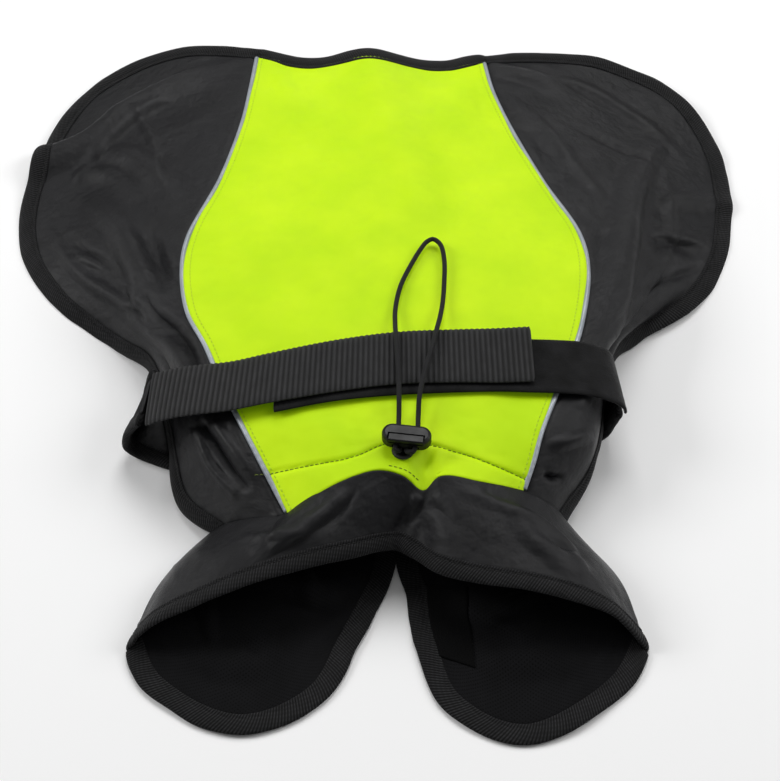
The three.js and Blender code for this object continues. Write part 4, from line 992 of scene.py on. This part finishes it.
collar_rim = collar_net[ROLL_STEPS:-ROLL_STEPS, 0]
collar_away, collar_up = directions(collar_rim, normals_of(collar_net, 1)[ROLL_STEPS:-ROLL_STEPS, 0], 1)
left_line, left_up = flap_rim(left_flap_net, 1)
right_line, right_up = flap_rim(right_flap_net, -1)
left_away, left_up = directions(left_line, left_up, 1)
right_away, right_up = directions(right_line, right_up, -1)
turns = []
for row, flip, flap_line, flap_away, flap_up in (
        (ROLL_STEPS, 1, left_line, left_away, left_up),
        (-ROLL_STEPS - 1, -1, right_line, right_away, right_up)):
    fold = collar_net[row, 0] - collar_net[row, -1]
    rim, away = collar_rim[::flip], collar_away[::flip]
    sheared_rim = sheared(away, -unit(np.gradient(rim, axis=0)), run_of(rim), fold)
    tip, tip_away = flap_line[::-1], flap_away[::-1]
    sheared_tip = sheared(tip_away, unit(np.gradient(tip, axis=0)), run_of(tip), fold)
    collar_away = sheared_rim[::flip]
    flap_away[:] = sheared_tip[::-1]
    corner_up = collar_up[::flip][0]
    outward = unit(rim[0] - rim[6] - ((rim[0] - rim[6]) @ unit(fold)) * unit(fold))
    outward = unit(outward - (outward @ corner_up) * corner_up)
    share = ((np.arange(ROLL_STEPS) + 1) / (ROLL_STEPS + 1))[:, None]
    turns.append(((1 - share) * sheared_rim[0] + share * sheared_tip[0],
                  np.cos(np.pi * share) * corner_up + np.sin(np.pi * share) * outward))
left_turn, right_turn = turns
rim_line = np.concatenate([left_line[:-1], collar_net[:, 0], right_line[-2::-1]])
rim_away = np.concatenate([left_away[:-1], left_turn[0][::-1], collar_away, right_turn[0],
                           right_away[-2::-1]])
rim_up = np.concatenate([left_up[:-1], left_turn[1][::-1], collar_up, right_turn[1], right_up[-2::-1]])
flap_count, rim_count = len(left_line) - 1, len(collar_net)
for k, (name, node, start, end) in enumerate([
        ("flap_tape_left", "binding_flap_left", 0, flap_count + 1),
        ("collar_tape", "binding_collar", flap_count, flap_count + rim_count + 1),
        ("flap_tape_right", "binding_flap_right", flap_count + rim_count, len(rim_line))]):
    tape_on(name, node, rim_line, rim_away, rim_up, (start, end), RIM_WIDTH if k == 1 else TAPE_WIDTH,
            SIDE_CLOTH, 80 + k, 0.7)

# %% [markdown]
# ## The belly band
# The band lies flat under the body and turns up at both ends, where the strap and its loop
# tape are sewn on.  It has a tape along its front and its rear edge.

# %% The belly band and its tapes
BAND = placed([  # front edge, rear edge
    [[-114.4, -61, 30.6], [-111.6, -41.5, 31.8]], [[-119.4, -59.5, 22.5], [-114, -40.5, 24]],
    [[-122.4, -59, 14], [-116.2, -40, 15.5]], [[-122.6, -58.5, 7], [-116.6, -39.5, 7.5]],
    [[-119, -59, 2], [-113.5, -38, 2]], [[-111, -62, 0], [-107, -33, 0]],
    [[-94, -68, 0], [-94, -28, 0]], [[-50, -71, 0], [-50, -24, 0]], [[0, -72, 0], [0, -23, 0]],
    [[50, -68, 0], [50, -23, 0]], [[86, -59, 0], [90, -26, 0]], [[102, -52.5, 0], [104, -29, 0]],
    [[111.5, -49, 0.4], [111.5, -31.5, 0.4]], [[116.2, -48, 5], [116.2, -32.5, 5.5]],
    [[118.6, -48.6, 14], [118.2, -34, 15]], [[120.4, -50, 23], [118.2, -35, 23]]])
BAND_CLOTH = 1.9 * MM
BAND_TAPE_WIDTH = 7.5 * MM

band_net = uneven(loft(BAND, 200, 14), 1, soft=0.2, crinkle=0.2, seed=91)
band = wall("belly_band_cloth", band_net, BAND_CLOTH, 1, [black_cloth, mesh_lining], base=0.15 * MM)
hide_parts("belly_band")
band_up = normals_of(band_net, 1)
for k, (name, node, column, outward) in enumerate([
        ("band_tape_front", "binding_band_front", 0, 1), ("band_tape_rear", "binding_band_rear", -1, -1)]):
    line, up = band_net[:, column], band_up[:, column]
    away, up = directions(line, up, outward)
    tape_on(name, node, line, away, up, (0, len(line)), BAND_TAPE_WIDTH, BAND_CLOTH, 95 + k)

# %% [markdown]
# ## The closing strap
# Ribbed webbing comes up from the left end of the band and closes over the back on a loop
# tape that comes up from the right end.  The ribs run across the webbing, 2.6 mm apart, and
# are modelled, because they catch the light one by one; the tape's pile is left to its finish.

# %% Tables of the strap, and the outline of webbing
WEBBING = [  # middle of the underside x, y, z; how much the rear edge is higher, and further right
    [-109.4, -54.4, 32.2, -0.5, 1.5], [-105.5, -55.4, 35.2, -1.6, 0.6], [-97, -56.2, 39.4, -2.4, 0],
    [-86, -57, 42.9, -2.9, 0], [-70, -56.8, 45.5, -3.1, 0], [-52, -53.2, 47, -2.4, 0],
    [-20, -46.5, 48.1, -0.6, 0], [10, -41.9, 48.5, 0, 0], [40, -40.3, 48.3, 0.6, 0],
    [60, -40, 48.3, 1.6, -0.5], [75.6, -38.9, 48, 2, -1]]
LOOP_TAPE = [
    [-48, -56.3, 44.9, -1.4, 0], [-20, -50.2, 45.9, -0.6, 0], [10, -46.6, 46.3, 0, 0],
    [40, -44.5, 45.8, 0, 0], [60, -43.6, 45.2, 0, 0], [76, -43.4, 44.3, 0, 0],
    [90, -43.2, 43.4, 0, 0], [100, -43, 42, 0.5, -1.5], [109, -43, 39, 2, -4],
    [115.4, -42.5, 34.6, 3, -5], [118.4, -42, 29.8, 2.5, -5], [119.4, -41.5, 25.6, 0, -4]]
STRAP_WIDTH = 32.0
WEBBING_CLOTH = 1.8 * MM
LOOP_CLOTH = 1.5 * MM
RIB_PITCH = 2.6 * MM

def strap_net(rows, along, across):
    edges = [[[x + skew * s, y + STRAP_WIDTH * s, z + rise * s] for s in (-0.5, 0.5)]
             for x, y, z, rise, skew in rows]
    net = loft(placed(edges), along, across)
    return np.stack([evenly(net[:, j], along + 1) for j in range(across + 1)], 1)

# %% The webbing and the loop tape
web_net = strap_net(WEBBING, 760, 16)
web_run = run_of(web_net.mean(1))
edge_share = np.abs(np.linspace(-1, 1, web_net.shape[1]))
rib = 0.5 + 0.5 * np.cos(2 * np.pi * web_run / RIB_PITCH)
rib = rib ** 0.7
web_net = web_net + normals_of(web_net, 1) * 0.15 * MM
web_thick = WEBBING_CLOTH - 0.1 * MM - 0.55 * MM * (1 - rib)[:, None] - 0.5 * MM * edge_share ** 8
webbing = wall("ribbed_webbing_strap", web_net, web_thick, 1, [webbing_finish, webbing_finish])
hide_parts("strap_webbing")

loop_net = strap_net(LOOP_TAPE, 300, 16)
loop_tape = wall("loop_tape_strap", loop_net, LOOP_CLOTH, 1, [loop_finish, loop_finish])
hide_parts("strap_loop_tape")
print("ribs on the webbing:", round(web_run[-1] / RIB_PITCH))

# %% [markdown]
# ## The closure patch
# A square of loop tape is sewn inside the right chest flap, near its front edge.

# %% The closure patch
PATCH = placed([  # towards the front edge, towards the fold
    [[24.6, -142, 0], [43, -143, 0]], [[25.6, -160, 0], [44, -162, 0]], [[30, -180, 0], [46, -186, 0]]])

def laid_on(net, points):
    """The points brought to the height of the cloth below them."""
    gaps = np.linalg.norm(points[..., None, None, :2] - net[..., :2], axis=-1)
    weights = np.exp(-(gaps / (1.2 * MM)) ** 2)
    height = (weights * net[..., 2]).sum((-1, -2)) / weights.sum((-1, -2))
    return np.concatenate([points[..., :2], height[..., None]], -1)

patch_net = laid_on(right_flap_net, loft(PATCH, 44, 20))
patch = wall("closure_patch_pile", patch_net, 0.7 * MM, 1, [patch_finish, patch_finish],
             base=FLAP_CLOTH + 0.2 * MM)
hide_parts("closure_patch")

# %% [markdown]
# ## Eyelet, cord lock and button
# These three are hard, and the solid model has their true shapes, so they stay and only get
# their finishes.  They are the pieces that the drawcord runs through.  Behind the eyelet the
# neck channel is open; a small dark disc of lining is set there as painted shade, standing in
# for the shade where one looks into the channel.

# %% Hard fittings keep their solids
for node, finish in {"eyelet": eyelet_plastic, "cord_lock": lock_plastic,
                     "cord_lock_button": lock_plastic}.items():
    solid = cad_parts[node]
    solid.data.materials.clear()
    solid.data.materials.append(finish)

EYELET_CENTRE = placed([13.1, -93.8, 44.5])
OPENING_RADIUS = 3.7 * MM
turn = np.linspace(0, 2 * np.pi, 24, endpoint=False)
rim = EYELET_CENTRE + OPENING_RADIUS * np.stack([np.cos(turn), np.sin(turn), 0 * turn], 1)
disc_drop = [0, 0, 0.8 * MM]
disc_points = np.concatenate([rim, rim - disc_drop, [EYELET_CENTRE], [EYELET_CENTRE - disc_drop]])
disc_faces = [[k, (k + 1) % 24, 48] for k in range(24)] + [[24 + (k + 1) % 24, 24 + k, 49] for k in range(24)]
disc_faces += [[24 + k, 24 + (k + 1) % 24, (k + 1) % 24, k] for k in range(24)]
# painted shade: a dark disc of lining stands in for the shade inside the eyelet
opening = mesh_piece("channel_shade_disc", disc_points, disc_faces, disc_points, None, [mesh_lining])

# %% [markdown]
# ## The drawcord itself
# The elastic is a round tube along its route.  Both its ends go back into the neck channel,
# so its far end is the jacket itself, and its length is the part that can be seen.

# %% The drawcord
cord_path = evenly(cord_line, 260)
cord_run = unit(np.gradient(cord_path, axis=0))
cord_side = unit(np.cross(cord_run, [0.3, 0.2, 1.0]))
cord_ring = np.stack([np.cos(ROUND), np.sin(ROUND)], 1) * CORD_DIAMETER / 2
drawcord = carried("elastic_drawcord", cord_path, cord_side, np.cross(cord_side, cord_run),
                   cord_ring, [elastic])
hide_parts("drawcord")

# %% [markdown]
# ## Stitches
# Each row of sewing is made stitch by stitch: a short length of thread that comes up out of
# the cloth, lies on it and goes down again.  All stitches of one row are one piece.  The
# channel for the cord is sewn with a darker thread than the seams of the back, and the hem
# tape and the collar and flap tape each have a row in their groove.

# %% One row of stitches
STITCH_SHARE = 0.72         # of the pitch; the rest is the gap where the thread is below
THREAD_CORNERS = 5

def sewn_row(name, line, up, material, pitch=2.4, thick=0.42):
    """Stitches along a line on the cloth's face; `up` is the face's direction there."""
    run = run_of(line)
    count = max(int(run[-1] / (pitch * MM)), 1)
    starts = np.linspace(0, run[-1], count, endpoint=False)
    along = np.array([0, 0.22, 0.5, 0.78, 1.0])
    height = np.array([-0.5, 0.35, 0.45, 0.35, -0.5]) * thick * MM
    at = starts[:, None] + along * STITCH_SHARE * run[-1] / count
    pick = lambda values: np.stack([np.interp(at, run, values[:, k]) for k in range(3)], -1)
    middle, above = pick(line), unit(pick(up))
    heading = unit(pick(np.gradient(line, axis=0)))
    aside = unit(np.cross(heading, above))
    middle = middle + above * height[:, None]
    angle = np.linspace(0, 2 * np.pi, THREAD_CORNERS, endpoint=False)
    ring = (aside[:, :, None] * np.cos(angle)[:, None] + above[:, :, None] * np.sin(angle)[:, None])
    points = (middle[:, :, None] + ring * thick / 2 * MM).reshape(-1, 3)
    points[:, 2] = np.maximum(points[:, 2], 0.0001)
    rings, corners = len(along), THREAD_CORNERS
    index = np.arange(count * rings * corners).reshape(count, rings, corners)
    turned = np.roll(index, -1, axis=2)
    sides = np.stack([index[:, :-1], turned[:, :-1], turned[:, 1:], index[:, 1:]], -1).reshape(-1, 4)
    faces = sides.tolist() + index[:, 0, ::-1].tolist() + index[:, -1].tolist()
    cut = np.stack([np.broadcast_to(angle * thick / 2 * MM, (count, rings, corners)),
                    np.broadcast_to(at[..., None], (count, rings, corners)),
                    np.zeros((count, rings, corners))], -1).reshape(-1, 3)
    piece = mesh_piece(name, points, faces, cut, None, [material])
    return piece, count

def groove(line, away, up, width, cloth, rise=1.0, overlap=0.0):
    """The bottom of the groove in a tape, where its stitches lie."""
    share, height = TAPE_TOP[4]
    across = (share * (width + overlap) - overlap)[:, None]
    return line + away * across + up * (cloth + height * rise * MM + 0.1 * MM)

# %% The rows of stitches
stitches = 0
channel = through(BACK_CREASES[0]["line"], np.linspace(0.02, 0.98, 160))
channel = laid_on(back_net, channel) + [0, 0, BACK_CLOTH]
stitches += sewn_row("channel_stitches", channel, np.tile([0, -0.1, 1.0], (160, 1)), olive_thread)[1]
back_up = normals_of(back_net, 1)
line = (back_net[-4] + back_up[-4] * BACK_CLOTH)[52:72]  # beside the dip in the neck seam
stitches += sewn_row("neck_stitches", line, back_up[-4][52:72], olive_thread)[1]
for name, column in (("seam_stitches_left", 2), ("seam_stitches_right", -3)):
    line = back_net[:, column] + back_up[:, column] * BACK_CLOTH
    stitches += sewn_row(name, line, back_up[:, column], lime_thread, 2.6, 0.38)[1]
ones = np.ones(len(hem_line))
line = groove(hem_line, hem_away, hem_up, TAPE_WIDTH * ones, SIDE_CLOTH, 1.0, hem_overlap)
stitches += sewn_row("hem_stitches", line, hem_up, black_thread)[1]
flap_width = np.full(len(rim_line), TAPE_WIDTH)
flap_width[flap_count:flap_count + rim_count + 1] = RIM_WIDTH
line = groove(rim_line, rim_away, rim_up, flap_width, SIDE_CLOTH, 0.7)
stitches += sewn_row("rim_stitches", line, rim_up, black_thread)[1]
print("stitches:", stitches)

# %% [markdown]
# ## What each piece was cut as
# Every panel, strap and patch is a sheet, and each point's place on its flat cloth, the
# attribute `cut`, is measured along its own net, which is as long over the folds as the
# cloth was on the cutting table.

# %% [markdown]
# ## Floor and light
# A plain pale floor and three large soft lamps: one high behind, one from each side in front.

# %% Floor
floor_data = bpy.data.meshes.new("floor")
floor_data.from_pydata([(-4, -4, -0.0003), (4, -4, -0.0003), (4, 4, -0.0003), (-4, 4, -0.0003)],
                       [], [(0, 1, 2, 3)])
floor = bpy.data.objects.new("floor", floor_data)
bpy.context.scene.collection.objects.link(floor)
floor_data.materials.append(floor_finish)

# %% Lamps
def lamp(name, place, aim, size, power):
    data = bpy.data.lights.new(name, "AREA")
    data.size, data.energy = size, power
    piece = bpy.data.objects.new(name, data)
    bpy.context.scene.collection.objects.link(piece)
    piece.location = place
    direction = np.array(aim) - np.array(place)
    piece.rotation_euler = (np.arctan2(np.hypot(*direction[:2]), -direction[2]), 0,
                            np.arctan2(direction[1], direction[0]) - np.pi / 2)
    return piece

lamp("lamp_behind", (0.1, 1.2, 1.6), (0, 0, 0), 1.1, 19)
lamp("lamp_left", (-1.6, 0.3, 1.1), (0, 0, 0), 0.7, 16)
lamp("lamp_right", (1.5, 0.3, 1.2), (0, 0, 0), 0.9, 12)
world = bpy.data.worlds.new("studio")
bpy.context.scene.world = world
world.use_nodes = True
world.node_tree.nodes["Background"].inputs["Color"].default_value = (1, 1, 1, 1)
world.node_tree.nodes["Background"].inputs["Strength"].default_value = 0.22
bpy.context.scene.view_settings.view_transform = "Standard"

# %% [markdown]
# ## Finish
# The scene is brought up to date.

# %% The end
bpy.context.view_layer.update()
